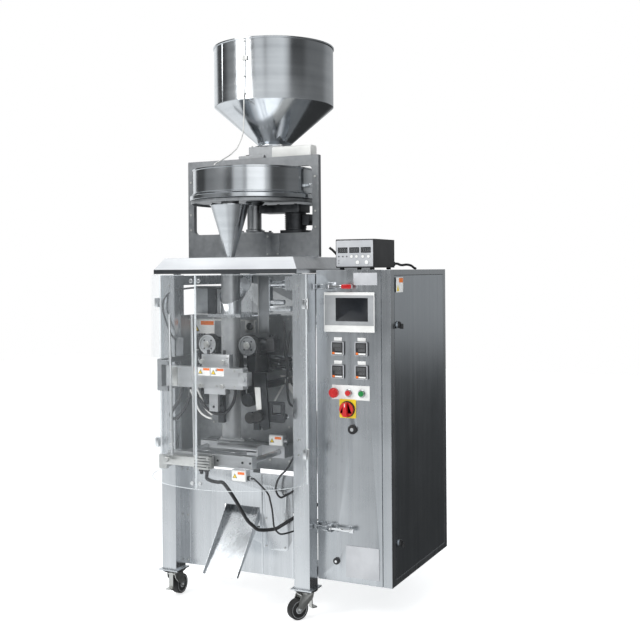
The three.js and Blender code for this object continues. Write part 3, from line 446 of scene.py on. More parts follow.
# ------------------------------------------------------------------ filler
def hopper():
    y, r, spout, low, cone, rim = 369, 259, 70, 1893.3, 2067, 2324
    wall = [
        (spout - 2, low), (spout + 16, low), (spout + 16, low + 4), (spout + 1, low + 4), (spout, low + 9),
        (spout + 2, low + 12), (r - 3, cone - 3), (r, cone), (r + 0.6, cone + 2), (r, cone + 4), (r, rim - 8),
        (r + 3, rim - 8), (r + 4, rim - 6), (r + 4, rim - 1), (r + 3, rim), (r - 1, rim), (r - 2, rim - 2),
        (r - 2, cone + 2), (spout - 2, low + 10), (spout - 2, low),
    ]
    Kit("hopper_shell", "base", "steel_round").ring("z", (0, y, 0), wall, 128).done("hopper", 25)
    seam = Kit("hopper_seams", "base", "steel")
    turn = Matrix.Rotation(math.radians(-118), 4, "Z")
    spot = turn @ Vector((r + 0.2, 0, 0))
    seam.box(spot.x - 2, spot.x + 2, y + spot.y - 1, y + spot.y + 1, cone + 4, rim - 9, 0.5)
    for i in range(6):
        t = math.radians(60 * i + 15)
        seam.hexagon("z", 5, low + 4, low + 8, (spout + 9) * math.cos(t), y + (spout + 9) * math.sin(t))
    seam.done()
    clips = Kit("hopper_clips", "base", "white")
    clips.box(-10, 20, 103, 107.5, 2228, 2246, 1.5)
    for z in (2305, 2160, 2090):
        clips.box(-1, 9, 99.6, 110, z, z + 5, 1)
    clips.done()


def bowl_and_discs():
    y, r, z, top = 190, 254, 1675, 1778
    wall = [(r - 3, z), (r + 3, z), (r + 3, z + 4), (r, z + 6), (r, top - 7), (r + 3, top - 5), (r + 3, top),
            (r - 3, top), (r - 3, z)]
    kit = Kit("bowl_shell", "base", "steel_round").ring("z", (0, y, 0), wall, 128)
    for s in (-1, 1):
        kit.box(s * 268 - 15, s * 268 + 15, y - 20, y + 20, 1700, 1712, 2)
    kit.box(-22, 22, y - r + 2, y + r - 2, 1712, 1715, 0.5)
    kit.box(-48, 48, y - 244, y - 148, 1674, 1676, 0.5)
    kit.box(-4, 4, y - 226, y - 166, 1675, 1713, 0.5)
    kit.done("bowl", 25)
    table = [(10.5, 1540), (30, 1540), (30, 1630), (45, 1645), (259, 1645), (259, 1636), (263, 1636), (264, 1638),
             (264, 1648), (262, 1650), (10.5, 1650), (10.5, 1540)]
    kit = Kit("table_plate", "base", "satin").ring("z", (0, y, 0), table, 112)
    kit.box(-60, 60, y - 24, y + 55, 1514.4, 1521, 1).cyl("z", 30, 1520, 1545, 0, y)
    kit.cyl("z", 36, 1521, 1532, 0, y, 2)
    for x in (-50, 50):
        for dy in (-14, 45):
            kit.hexagon("z", 7, 1521, 1527, x, y + dy)
    kit.ring("z", (0, -6, 0), [(31, 1630), (36, 1630), (36, 1645), (31, 1645), (31, 1630)], 40)
    kit.done("filler_table", 30)
    disc = [(0, 1690), (12, 1690), (12, 1670), (264, 1670), (267, 1668), (267, 1654), (264, 1652), (262, 1652),
            (262, 1666), (234, 1666), (234, 1652), (158, 1652), (158, 1666), (40, 1666), (40, 1652), (10, 1652),
            (10, 1560), (0, 1560)]
    kit = Kit("disc_plate", "disc", "steel_round").ring("z", (0, y, 0), disc, 112)
    kit.hexagon("z", 16, 1670, 1690, 0, y)
    kit.done("metering_disc", 30)
    # painted shade: thin dark discs on the solid disc plate stand in for the shaded hollows of the six cups
    cup_shade = Kit("disc_cup_shade", "disc", "gunmetal")
    for i in range(6):
        t = math.radians(60 * i + 30)
        cup_shade.ring("z", (196 * math.sin(t), y - 196 * math.cos(t), 0),
                  [(0, 1670.2), (30, 1670.2), (31, 1670.6), (0, 1670.6)], 32)
    cup_shade.done()


def funnel_and_tube():
    cone = [(16, 1380), (17.5, 1380), (17.5, 1418), (19, 1424), (76.5, 1618), (78, 1622), (82, 1622), (82, 1625),
            (76, 1625), (17.5, 1426), (16, 1420), (16, 1380)]
    kit = Kit("funnel_cone", "base", "steel_round").ring("z", (0, -6, 0), cone, 96)
    for s in (-1, 1):
        kit.box(s * 79.5 - 2.5, s * 79.5 + 2.5, -12, 24, 1622, 1635.6, 0.6)
    kit.done("discharge_funnel", 25)
    tube = [(36.5, 690), (38, 690), (38, 1380), (41, 1380), (41, 1385), (36.5, 1385), (36.5, 690)]
    kit = Kit("tube_pipe", "base", "satin").ring("z", (0, -6, 0), tube, 64)
    kit.box(-20, 20, 32, 120, 1380, 1385, 1)
    kit.done("forming_tube", 30)


def filler_drive():
    motor = Kit("drive_motor", "base", "gunmetal")
    motor.box(130, 230, 174, 266, 1514.4, 1526, 2)
    motor.cyl("z", 43, 1525, 1600, 180, 220, 3, 48)
    for z in range(1534, 1594, 8):
        motor.cyl("z", 46.5, z, z + 3, 180, 220, 0.8, 48)
    motor.slab(rounded(33, 228, 160, 266, 14), "z", 1598, 1630, 2)
    motor.box(220, 252, 196, 244, 1545, 1590, 3)
    for x in (60, 120, 200):
        motor.hexagon("z", 7, 1629, 1633.5, x, 180)
    motor.done("filler_motor")
    lead = Kit("drive_lead", "base", "cord_black")
    lead.wire([(252, 220, 1560), (266, 222, 1556), (274, 226, 1540), (276, 240, 1524), (270, 262, 1516)], 6, 12)
    lead.done()


def gate():
    y = 369
    dress("gate_slide", "gunmetal", 0.6)
    body = dress("gate_housing", "satin", 0.8)
    cover = Kit("gate_actuator_cover", "base", "white")
    cover.slab([(171.4, 1828.6), (228.6, 1828.6), (228.6, 1864), (221, 1871.6), (179, 1871.6), (171.4, 1864)],
               "x", 95.4, 274.6, 1.5)
    cover.done()
    bolts = Kit("gate_bolts", "base", "zinc")
    for x in (-72, 72):
        for dy in (-70, 70):
            bolts.hexagon("z", 6, 1893, 1898, x, y + dy)
    for x in (-50, -20, 20, 50):
        bolts.hexagon("z", 6, 1840, 1845, x, 200)
    bolts.done()
    return body


def stand():
    dress("filler_stand", "stand_steel", 1.2)
    bolts = Kit("stand_bolts", "base", "zinc")
    for x in (-225, 225):
        bolts.hexagon("z", 7, 1514, 1520, x, 284)
    for x in (-298, 298):
        for z in (1535, 1600, 1740):
            bolts.hexagon("y", 5, 161.5, 165.5, x, z)
    for x, z in ((78, 1500), (78, 1428), (124, 1428)):
        bolts.cyl("y", 4, 161, 164, x, z, 0.8, 16)
    bolts.done()
    Kit("stand_front_plate", "base", "stand_steel").box(70, 132, 163.2, 165.2, 1420, 1508, 0.6).done()


hopper()
bowl_and_discs()
funnel_and_tube()
filler_drive()
gate()
stand()


# ------------------------------------------------------------------ frame, covers and guards
def bolt(kit, axis, r, face, c, d, out=-1):
    """A hexagon-socket head standing out of a face."""
    a, b = sorted((face, face + out * r * 0.8))
    kit.cyl(axis, r, a, b, c, d, 0.8, 20)


def frame_and_covers():
    dress("main_frame", "steel", 1.5, 30)
    dress("machine_plate", "satin", 0.8)
    dress("front_cover_plate", "steel", 0.6)
    dress("hood", "steel_across", 0.6)
    dress("chute", "steel", 0.5)
    bolts = Kit("frame_bolts", "base", "zinc")
    for side in (-1, 1):
        for z in (1300, 1180, 700, 640):
            bolt(bolts, "y", 4, 0.2, side * 300, z)
        for x in (-34, 34):
            for y in (8, 62, 651, 705):
                bolts.hexagon("z", 6, 107, 114, side * 310 + x, y)
    for x in (-262, 262):
        for z in (146, 336, 526):
            bolt(bolts, "y", 4, 70.4, x, z)
    for z in (250, 360, 470):
        for x in (116, 201):
            bolt(bolts, "y", 3.6, 66, x, z)
    bolts.done()
    pads = Kit("caster_pads", "base", "rubber")
    pad = [(28.5, 108.2), (46, 108.2), (46, 113.2), (28.5, 113.2), (28.5, 108.2)]
    for x in (-310, 310):
        for y in (35, 678):
            pads.ring("z", (x, y, 0), pad, 40)
    pads.done()
    Kit("rear_panel", "base", "satin").box(-268, 268, 640, 643, 1150, 1344, 0.5).done()
    Kit("collar_screen", "base", "satin").box(-275, -100, 162, 164, 1176, 1296, 0.5).done()
    Kit("collar_column", "base", "gunmetal").box(-215, -170, 159, 161.7, 1176.2, 1290, 1).done()
    # painted shade: the hood lip takes the near-black copy of the hood steel
    Kit("hood_lip", "base", "shaded_lip_steel").box(-330.6, 330.6, -67.8, -66.6, 1348, 1365.5, 0.3).done()
    ribs = Kit("cover_ribs", "base", "steel")
    for x in (-255, -100, 92, 232):
        ribs.box(x, x + 6, 68.6, 70.8, 134, 314 if x == -100 else 536, 1)
    ribs.done()


def guard(side, name):
    a, b, thick, z0, z1 = 344, 267, 5, 533, 1345
    steps = 56
    start, stop = math.asin(10 / b), math.pi / 2 - 0.006

    def arc(inset):
        return [(side * (a - inset) * math.cos(t), -(b - inset) * math.sin(t))
                for t in (start + (stop - start) * i / steps for i in range(steps + 1))]

    body = f"guard_{name}"
    pane = Kit(f"guard_pane_{name}", body, "acrylic")
    pane.slab(arc(0) + arc(thick)[::-1], "z", z0 + 1, z1 - 1, 0)
    pane.done(f"guard_door_{name}", 20, "clear_acrylic")
    rim = Kit(f"guard_rim_{name}", body, "acrylic_edge")
    for low, high in ((z0, z0 + 1.4), (z1 - 1.4, z1)):
        rim.slab(arc(-0.05) + arc(thick + 0.05)[::-1], "z", low, high, 0)
    end, root = arc(2.5)[-1], arc(2.5)[0]
    rim.box(end[0] - 1, end[0] + 1, end[1] - 2.6, end[1] + 2.6, z0, z1, 0.3)
    rim.box(root[0] - 2.6, root[0] + 2.6, root[1] - 1, root[1] + 1, z0, z1, 0.3)
    rim.done(slot="clear_acrylic")
    metal_bits = Kit(f"guard_hinges_{name}", body, "chrome")
    for z in (651, 1230):
        metal_bits.cyl("z", 6, z - 20, z + 20, side * 350.5, -18, 1, 24)
        x = sorted((side * 335, side * 350))
        metal_bits.box(*x, -37, -18, z - 19, z + 19, 2)
        for dz in (-10, 10):
            metal_bits.cyl("x", 4, *sorted((side * 344, side * 353)), -30, z + dz, 1, 16)
    for z in (556, 1322):
        metal_bits.cyl("y", 8, -b - 4, -b + 1, side * 17, z, 1.5, 24)
        metal_bits.cyl("y", 5, -b - 1, -b + 9, side * 17, z, 1, 20)
    metal_bits.done()


frame_and_covers()
guard(-1, "left")
guard(1, "right")


# ------------------------------------------------------------------ casters
def casters():
    """Wheels get a moulded tread and a dished hub; forks keep their solids with a zinc look."""
    for node_name in sorted(n for n in frame["nodes"] if n.startswith("caster_fork_")):
        dress(node_name, "zinc", 0.8, 40)
    for joint in frame["joints"]:
        if not joint["name"].startswith("caster_") or not joint["name"].endswith("_roll"):
            continue
        place = joint["name"][len("caster_"):-len("_roll")]
        axle = (Vector(joint["pos_m"]) - SHIFT) * 1000
        along = Vector(joint["axis"]).normalized()
        turn = Vector((0, 0, 1)).rotation_difference(along).to_matrix().to_4x4()
        tread = [(14, -15), (33, -15), (37, -16), (40, -14), (41, -10), (41, 10), (40, 14), (37, 16), (33, 15),
                 (14, 15), (14, -15)]
        tyre = Kit(f"tyre_{place}", f"wheel_{place}", "rubber").ring("z", axle, tread, 56, turn)
        tyre.done(f"caster_wheel_{place}", 30)
        hub = [(5.6, -17.4), (12, -17.4), (15, -15.5), (20, -12.5), (29, -12.5), (32, -15.4), (33.4, -15.4),
               (33.4, 15.4), (32, 15.4), (29, 12.5), (20, 12.5), (15, 15.5), (12, 17.4), (5.6, 17.4), (5.6, -17.4)]
        disc = Kit(f"hub_{place}", f"wheel_{place}", "grey_paint").ring("z", axle, hub, 40, turn)
        disc.done()
        nut = Kit(f"axle_nut_{place}", f"fork_{place}", "chrome")
        nut.ring("z", axle, [(0, 21.5), (8, 21.5), (8, 26), (5, 26.5), (5, 29), (0, 29)], 6, turn)
        nut.ring("z", axle, [(0, -21.5), (8, -21.5), (8, -26), (0, -26)], 6, turn)
        nut.done()


# ------------------------------------------------------------------ forming set and film
def forming_set():
    dress("forming_collar", "steel", 0.5, 50)
    dress("belt_guide", "chrome", 0.6, 50)
    film = Kit("film_tube", "base", "film_clear")
    film.ring("z", (0, -6, 0), [(39.2, 700), (39.4, 820), (39.2, 1184)], 56)
    low = []
    for k in range(9):
        f = k / 8
        wide, deep = 39.2 + 22 * f, 39.2 * (1 - f) + 3
        low.append([(wide * math.cos(t), -6 + deep * math.sin(t), 700 - 22 * k / 8)
                    for t in (2 * math.pi * i / 56 for i in range(56))])
    part = bmesh.new()
    rings = [[part.verts.new(p) for p in ring] for ring in low]
    for a, b in zip(rings, rings[1:]):
        for i in range(56):
            part.faces.new((a[i], a[(i + 1) % 56], b[(i + 1) % 56], b[i]))
    film._take(part)
    film.done(slot="film")


def web():
    """The film over the guide roller and up to the collar: one thin strip, not drawn as far as the roll."""
    path = [(0, 700, 1050), (0, 644, 1128), (0, 622, 1143), (0, 600, 1136),
            (0, 480, 1180), (0, 260, 1262), (0, 140, 1306)]
    part = bmesh.new()
    rows = []
    for p in smooth_path(path, 5):
        half = 150 - 90 * max(0, min(1, (600 - p.y) / 460))
        rows.append([part.verts.new((half * u / 6, p.y, p.z + 4 * math.cos(u * 0.5))) for u in range(-6, 7)])
    for a, b in zip(rows, rows[1:]):
        for i in range(12):
            part.faces.new((a[i], a[i + 1], b[i + 1], b[i]))
    Kit("film_web", "base", "film_clear")._take(part).done(slot="film")


def pulleys():
    for side, name in ((-1, "left"), (1, "right")):
        look = "aluminium" if side < 0 else "satin"
        profile = [(8.6, -37), (13, -38), (14, -36), (15, -33.5), (31, -33.5), (33, -36.5), (34, -38), (38.6, -38),
                   (39.6, -37), (39.6, -3), (38.6, -2), (8.6, -2), (8.6, -37)]
        kit = Kit(f"pulley_disc_{name}", f"pulley_{name}", look).ring("y", (side * 93, 0, 1063), profile, 72)
        kit.done(f"belt_pulley_{name}", 30)
        hub = Kit(f"pulley_hub_{name}", f"pull_unit_{name}", "zinc")
        hub.cyl("y", 14, -46, -39, side * 93, 1063, 1.5, 32).hexagon("y", 8, -51, -45, side * 93, 1063)
        hub.done()
        # painted shade: thin dark discs on the solid pulley face stand in for its four holes, which are dark with
        # shade
        hole_shade = Kit(f"pulley_hole_shade_{name}", f"pulley_{name}", "gunmetal")
        for i in range(4):
            t = math.radians(45 + 90 * i)
            hole_shade.cyl("y", 3.4, -34.4, -33.2, side * 93 + 23 * math.cos(t), 1063 + 23 * math.sin(t), 0.3, 16)
        hole_shade.done()
        dress(f"belt_{name}", "belt_rubber", 0.4, 40)
        dress(f"belt_unit_{name}", "gunmetal", 0.8, 45)
        teeth = Kit(f"belt_teeth_{name}", f"pull_unit_{name}", "belt_rubber")
        for s in (-1, 1):
            for z in range(880, 1050, 12):
                x = side * 93 + s * (43.2 - (1063 - z) * 14 / 213)
                teeth.box(x - 0.7, x + 0.7, -36, -4, z, z + 6, 0.4)
        teeth.done()


# ------------------------------------------------------------------ sealing parts
def sealing():
    dress("seal_arm_post", "satin", 1)
    dress("seal_arm", "aluminium", 1.2, 45)
    dress("seal_bar", "gunmetal", 0.8, 50)
    dress("support_rods", "zinc", 0.6, 50)
    dress("tension_arm", "gunmetal", 1.0, 45)
    dress("jaw_guide_block", "satin", 1.0, 40)
    dress("front_jaw", "aluminium", 1.0, 40)
    dress("rear_jaw", "aluminium", 1.0, 40)
    dress("knife", "chrome", 0)
    rods = Kit("upright_rods", "base", "chrome")
    for low, high in ((-150, -162), (-47, -56)):
        rods.wire([(low, -203, 641), ((low + high) / 2, -203, 915), (high, -203, 1191)], 5.9, 24)
    rods.done()
    cylinder = Kit("cylinder_details", "base", "zinc")
    for x in (-34, 18):
        for z in (606, 642):
            bolt(cylinder, "y", 4.6, -214.4, x, z)
    cylinder.cyl("y", 11, -222, -213, -172, 624, 2, 28)
    cylinder.done()
    fittings = Kit("air_fittings", "base", "black")
    for x in (-20, 4):
        fittings.cyl("z", 7, 577.9, 599, x, -197, 1, 20)
        fittings.box(x - 8, x + 8, -206, -188, 588, 600, 2)
    fittings.done()
    arm = Kit("arm_fixings", "arm", "zinc")
    for x in (-172, -140, -60, 30, 110):
        for z in (915, 976):
            bolt(arm, "y", 4.2, -165, x, z)
    for x in (-30, 72):
        for z in (998, 1024):
            bolt(arm, "y", 3.8, -158, x, z)
    arm.box(-186.5, -150, -167, -164.8, 908, 982, 0.8)
    arm.done()
    thumb = Kit("arm_thumbscrews", "arm", "zinc")
    for x in (-40, 56):
        thumb.cyl("y", 9, -174, -164, x, 914, 1.5, 14).cyl("y", 9, -168, -157, x, 1008, 1.5, 14)
    thumb.done()
    Kit("arm_knob", "arm", "gunmetal").cyl("y", 13, -178, -172, 150, 946, 1.5, 14).done()
    heads = Kit("arm_fittings", "arm", "black")
    for x in (-20, 52):
        heads.cyl("z", 6, 1036, 1052, x, -143, 1, 20)
    heads.done()
    jaw = Kit("jaw_faces", "jaw_front", "gunmetal")
    for z in range(611, 650, 3):
        if 624 < z < 635:
            continue
        jaw.box(-95, 95, -52, -50.7, z, z + 1.6, 0.3)
    for x in (-184, -150, -40, 40, 150, 184):
        bolt(jaw, "y", 4.4, -176, x, 630)
    jaw.done()
    grooves = Kit("cylinder_grooves", "base", "gunmetal")
    for z in (606, 617, 628, 639):
        grooves.box(-42, 26, -214.8, -213.2, z, z + 3.4, 0.5)
    grooves.done()
    lids = Kit("terminal_lids", "jaw_front", "white")
    lids.slab(rounded(119, 179, 565, 605, 5), "y", -203.6, -200.6, 1)
    lids.done()
    gland = Kit("front_gland", "jaw_front", "black")
    gland.cyl("x", 9, 182, 192, -189, 576, 1, 20).hexagon("x", 10, 184, 189, -189, 576)
    gland.done()
    Kit("rear_lid", "jaw_rear", "white").slab(rounded(129, 189, 656, 696, 5), "y", 71.4, 74.4, 1).done()
    rollers = Kit("tension_rollers", "base", "rubber")
    for x, z in ((128, 786), (160, 792)):
        rollers.cyl("y", 22.6, -85, -66, x, z, 3, 40)
    rollers.done()
    strip = Kit("tension_strip", "base", "white")
    strip.slab([(142, 905), (166, 905), (172, 820), (150, 815)], "y", -67, -63, 0.6)
    strip.done()
    ram = Kit("tension_ram", "base", "chrome")
    ram.cyl("x", 13, 200, 258, -30, 792, 2, 32).cyl("x", 5, 258, 272, -30, 792, 1, 20)
    ram.done()


def sticker(name, body, x0, x1, y, z0, z1, split=0.4):
    """A generic notice: a white tag with a warning triangle and a red band, and no lettering."""
    Kit(name, body, "label").box(x0, x1, y - 0.6, y, z0, z1, 0.2).done()
    w, h = x1 - x0, z1 - z0
    cx, half = x0 + w * split / 2, min(w * split * 0.46, h * 0.42)
    low = z0 + h * 0.5 - half * 0.85
    edge = Kit(name + "_edge", body, "black")
    edge.slab([(cx - half, low), (cx + half, low), (cx, low + half * 1.7)], "y", y - 0.9, y - 0.5, 0)
    edge.done()
    mark = Kit(name + "_mark", body, "yellow")
    inner = half * 0.72
    mark.slab([(cx - inner, low + half * 0.16), (cx + inner, low + half * 0.16), (cx, low + half * 1.38)],
              "y", y - 1.3, y - 0.8, 0)
    mark.done()
    band = Kit(name + "_band", body, "orange")
    band.box(x0 + w * (split + 0.03), x1 - w * 0.03, y - 1.0, y - 0.5, z0 + h * 0.66, z0 + h * 0.95, 0.1)
    band.done()


def stickers():
    sticker("arm_tag_left", "arm", -54, 0, -165, 953, 984)
    sticker("arm_tag_right", "arm", 4, 64, -165, 953, 984)
    sticker("plate_tag", "base", -295, -175, 149.8, 1091, 1150)
    sticker("front_jaw_tag", "jaw_front", 122, 176, -203.8, 568, 602)
    sticker("rear_jaw_tag", "jaw_rear", 132, 186, 71.2, 659, 693)


def inner_lines():
    """The hoses and wires that are clipped to the plate and to the sealing arm."""
    fixed = Kit("fixed_lines", "base", "cord_black")
    fixed.wire([(-82, 90, 1285), (-161, 60, 1290), (-222, 40, 1289), (-290, 10, 1276), (-318, -12, 1245),
                (-322, -16, 1200), (-306, -16, 1150), (-280, -20, 1100), (-262, -14, 1076)], 4, 10)
    fixed.wire([(192, 88, 1158), (196, 86, 1058), (202, 86, 985), (204, 88, 937), (208, 92, 836), (210, 148, 800)],
               5, 10)
    fixed.wire([(214, 96, 1118), (211, 80, 1029), (214, 78, 985), (218, 80, 937), (222, 100, 900), (224, 148, 880)],
               4, 10)
    fixed.wire([(228, 149, 660), (226, 100, 612), (214, 60, 567), (193, 50, 543), (178, 45, 515), (173, 45, 482),
                (189, 50, 455), (213, 55, 464), (238, 62, 480), (242, 72, 482)], 4, 10)
    fixed.done()
    loom = Kit("arm_lines", "arm", "cord_black")
    loom.wire([(-164, -124, 930), (-180, -90, 894), (-206, -70, 840), (-240, -62, 800), (-256, -60, 775),
               (-236, -60, 758), (-194, -62, 792), (-155, -76, 851), (-128, -110, 890), (-122, -124, 906)], 7, 12)
    loom.wire([(-110, -124, 906), (-98, -104, 866), (-87, -100, 848), (-54, -100, 814), (-12, -100, 797),
               (29, -100, 803), (61, -100, 837), (80, -108, 885), (82, -124, 906)], 6, 12)
    loom.done()
    pale = Kit("arm_tubes", "arm", "cord_white")
    pale.wire([(-126, -124, 908), (-120, -100, 860), (-96, -96, 806), (-68, -96, 784), (-36, -98, 776)], 4, 10)
    pale.wire([(-92, -124, 908), (-86, -96, 856), (-70, -94, 820), (-50, -94, 800), (-34, -96, 792)], 4, 10)
    pale.done()


def plate_details():
    """Small plates, knobs and struts on the machine plate round the belts."""
    bright = Kit("plate_rail", "base", "zinc")
    bright.box(-278, 56, 98, 108, 1152, 1158, 0.8).box(8, 55, 92, 98, 1106, 1157, 1.5)
    bright.slab([(204, 932), (211, 930), (147, 826), (140, 828)], "y", 84, 88, 0.5)
    bright.box(88, 91, 59.4, 64.6, 1108, 1338, 0.4)
    bright.done()
    knob = Kit("plate_knob", "base", "gunmetal")
    knob.ring("y", (31, 0, 1131), [(0, 84), (9, 84), (15, 88), (15, 92), (0, 92)], 32)
    knob.done()
    dark = Kit("collar_plate", "base", "stand_steel")
    dark.box(91, 138.6, 58.8, 60.2, 1108, 1338, 0.4).box(-262, -226, -10, -6, 1010, 1086, 1)
    dark.done()
    pale = Kit("plate_window", "base", "white")
    pale.slab([(140, 930), (285, 930), (285, 846), (205, 846)], "y", 146.4, 149.8, 0.4)
    pale.box(-276, -236, 140, 149.8, 960, 1068, 1)
    pale.done()
    screws = Kit("plate_screws", "base", "zinc")
    for x in (-270, -180, -90, 90, 180, 270):
        for z in (1162, 720, 580):
            bolt(screws, "y", 5, 150, x, z)
    screws.done()
    for side, name in ((-1, "left"), (1, "right")):
        motor = Kit(f"motor_cap_{name}", f"pull_unit_{name}", "black")
        a, b = sorted((side * 148, side * 187))
        motor.box(a, b, 13, 63, 1038, 1088, 2).box(a + 4, b - 2, 20, 56, 1087, 1093, 1)
        for k in range(3):
            motor.cyl("z", 4.5, 1092, 1102, side * (154 + 12 * k), 38, 1, 16)
        motor.done()
        sleeve = Kit(f"press_sleeve_{name}", "base", "black")
        sleeve.cyl("x", 14, *sorted((side * 162, side * 212)), 112, 985, 1.5, 32)
        sleeve.done()


casters()
forming_set()
web()
pulleys()
sealing()
stickers()
inner_lines()
plate_details()


# ------------------------------------------------------------------ film roll
def film_roll():
    kit = Kit("roll_wound", "roll", "grey_film")
    profile = [(44, -160), (149, -160), (150, -159), (150, 159), (149, 160), (44, 160), (44, -160)]
    kit.ring("x", (0, 905, 520), profile, 96)
    kit.done("film_roll", 25)
    shaft = Kit("roll_shaft", "roll", "zinc")
    shaft.cyl("x", 12, -236, 236, 905, 520, 1, 32)
    for s in (-1, 1):
        shaft.cyl("x", 44, *sorted((s * 160, s * 180)), 905, 520, 4, 48)
        shaft.hexagon("x", 20, *sorted((s * 180, s * 192)), 905, 520)
    shaft.done()
    dress("guide_roller", "chrome", 0.6, 50)


film_roll()


# ------------------------------------------------------------------ electrical cabinet
def cabinet():
    dress("cabinet_shell", "cabinet_steel", 1.5, 40)
    dress("cabinet_door", "cabinet_steel", 1.2, 40)
    dress("cabinet_side_panel", "side_steel", 0, 0)
    locks = Kit("door_locks", "door", "chrome")
    rings = Kit("door_lock_rings", "door", "black")
    for x, z, r in ((500, 743, 17), (428, 226, 12)):
        locks.ring("y", (x, 0, z), [(0, 58), (r * 0.4, 58), (r * 0.48, 60), (r * 0.48, 66), (0, 66)], 32)
        rings.ring("y", (x, 0, z), [(r * 0.46, 60.2), (r, 60.2), (r * 1.08, 62), (r * 1.08, 69.8),
                                    (r * 0.46, 69.8), (r * 0.46, 60.2)], 40)
    locks.done()
    rings.done()
    seam = Kit("door_seal", "base", "rubber")
    strips = ((352, 615, 156, 160), (352, 615, 1347, 1351), (352, 356, 160, 1347), (611, 615, 160, 1347))
    for x0, x1, z0, z1 in strips:
        seam.box(x0, x1, 78.6, 81.6, z0, z1, 1)
    seam.done()
    latch = Kit("side_locks", "side_door", "black")
    for z in (305, 1147):
        latch.ring("x", (0, 144, z), [(0, 672), (9, 672), (11, 670), (14, 664), (0, 664)], 32)
        latch.box(669, 682, 139, 149, z - 16, z + 4, 2)
    latch.done()
    tag = Kit("side_tag", "side_door", "label").box(664, 665.2, 118, 190, 1272, 1330, 0.2)
    tag.done()
    mark = Kit("side_mark", "side_door", "yellow")
    mark.slab([(122, 1277), (146, 1277), (134, 1300)], "x", 665.0, 665.9, 0)
    mark.done()
    band = Kit("side_band", "side_door", "orange").box(665.0, 665.9, 146, 187, 1310, 1327, 0.1)
    band.done()
    names = Kit("door_plates", "door", "panel_silver")
    names.box(507.6, 606.4, 67.4, 69.9, 1300.6, 1348.4, 0.3).box(467.6, 606.4, 67.4, 69.9, 169.6, 292.4, 0.3)
    names.done()


def instruments():
    bezel = Kit("screen_bezel", "door", "grey_paint")
    bezel.slab(rounded(384, 598, 1119, 1274, 4), "y", 61, 69.6, 1.0)
    bezel.done("touch_screen")
    Kit("screen_glass", "door", "screen").slab(rounded(434, 570, 1161, 1252, 2), "y", 60.3, 61.6, 0.4).done()
    strip = Kit("screen_strips", "door", "label")
    strip.box(384.5, 597.5, 59.6, 61.5, 1262, 1273.5, 0.6).box(384.5, 597.5, 59.6, 61.5, 1119.5, 1145, 0.6)
    strip.box(384.5, 387, 59.9, 61.5, 1140, 1270, 0.4).box(595, 597.5, 59.9, 61.5, 1140, 1270, 0.4)
    strip.done()
    body = Kit("controllers", "door", "black")
    rim = Kit("controller_rims", "door", "panel_silver")
    dim = Kit("controller_digits", "door", "digit_dim")
    orange = Kit("controller_marks", "door", "orange")
    tags = Kit("controller_tags", "door", "label")
    for x in (440, 540):
        for z in (965, 1055):
            body.slab(rounded(x - 23, x + 23, z - 24, z + 24, 2), "y", 59.8, 62.6, 0.6)
            rim.slab(rounded(x - 26.6, x + 26.6, z - 26.6, z + 26.6, 4), "y", 60.8, 62.2, 0.4)
            digits(dim, x - 18, x + 18, z + 5, z + 18, 59.6, 4)
            digits(dim, x - 10, x + 18, z - 9, z + 1, 59.6, 4)
            orange.box(x - 21, x - 11, 59.2, 60.2, z - 22, z - 14, 0.3)
            tags.box(x - 10, x + 20, 59.2, 60.2, z - 22, z - 16, 0.3)
            tags.box(x - 17, x + 17, 67.2, 69.8, z + 28, z + 43, 0.5)
    for kit in (body, rim, dim, orange, tags):
        kit.done()


def digits(kit, x0, x1, z0, z1, y, count):
    """A row of seven-segment eights: a generic read-out with no message."""
    w = (x1 - x0) / count
    t = (z1 - z0) * 0.11
    mid = (z0 + z1) / 2
    for k in range(count):
        a, b = x0 + w * k + w * 0.14, x0 + w * (k + 1) - w * 0.14
        for z in (z0, mid, z1):
            kit.box(a + t, b - t, y - 0.2, y + 0.3, z - t / 2, z + t / 2, 0)
        for low, high in ((z0, mid), (mid, z1)):
            for x in (a, b):
                kit.box(x - t / 2, x + t / 2, y - 0.2, y + 0.3, low + t * 0.7, high - t * 0.7, 0)


def buttons():
    dress("switch_plate", "label", 0.6, 40)
    collar = Kit("button_collars", "door", "chrome")
    for x in (430, 486, 542):
        collar.ring("y", (x, 0, 884), [(11.2, 58.7), (14.4, 58.7), (15.6, 60), (15.6, 67.6), (11.2, 67.6),
                                       (11.2, 58.7)], 40)
    collar.done()
    dress("emergency_stop", "red", 1.6, 45)
    dress("stop_button", "red", 0.8, 45)
    dress("start_button", "green", 0.8, 45)
    dress("main_switch_handle", "red", 1.2, 40)
    Kit("switch_square", "door", "yellow").slab(rounded(445, 515, 786, 859, 4), "y", 65.6, 67.2, 0.5).done()
    ring = Kit("switch_ring", "door", "black")
    rim = [(21.3, 60.2), (30.5, 60.2), (31.5, 61.4), (31.5, 66), (21.3, 66), (21.3, 60.2)]
    ring.ring("y", (480, 0, 821), rim, 48)
    ring.done()
    Kit("switch_pointer", "switch", "label").box(478.6, 481.4, 35.5, 36.4, 832, 845, 0.3).done()
    dress("temperature_panel", "gunmetal", 0.8, 40)


def latches():
    dress("latch_handle_upper", "chrome", 0.8, 45)
    dress("latch_handle_lower", "chrome", 0.8, 45)
    grip = Kit("latch_grip_upper", "latch_upper", "red")
    grip.slab(rounded(466, 509, 1287, 1305, 7), "y", 40, 56, 3)
    grip.done()


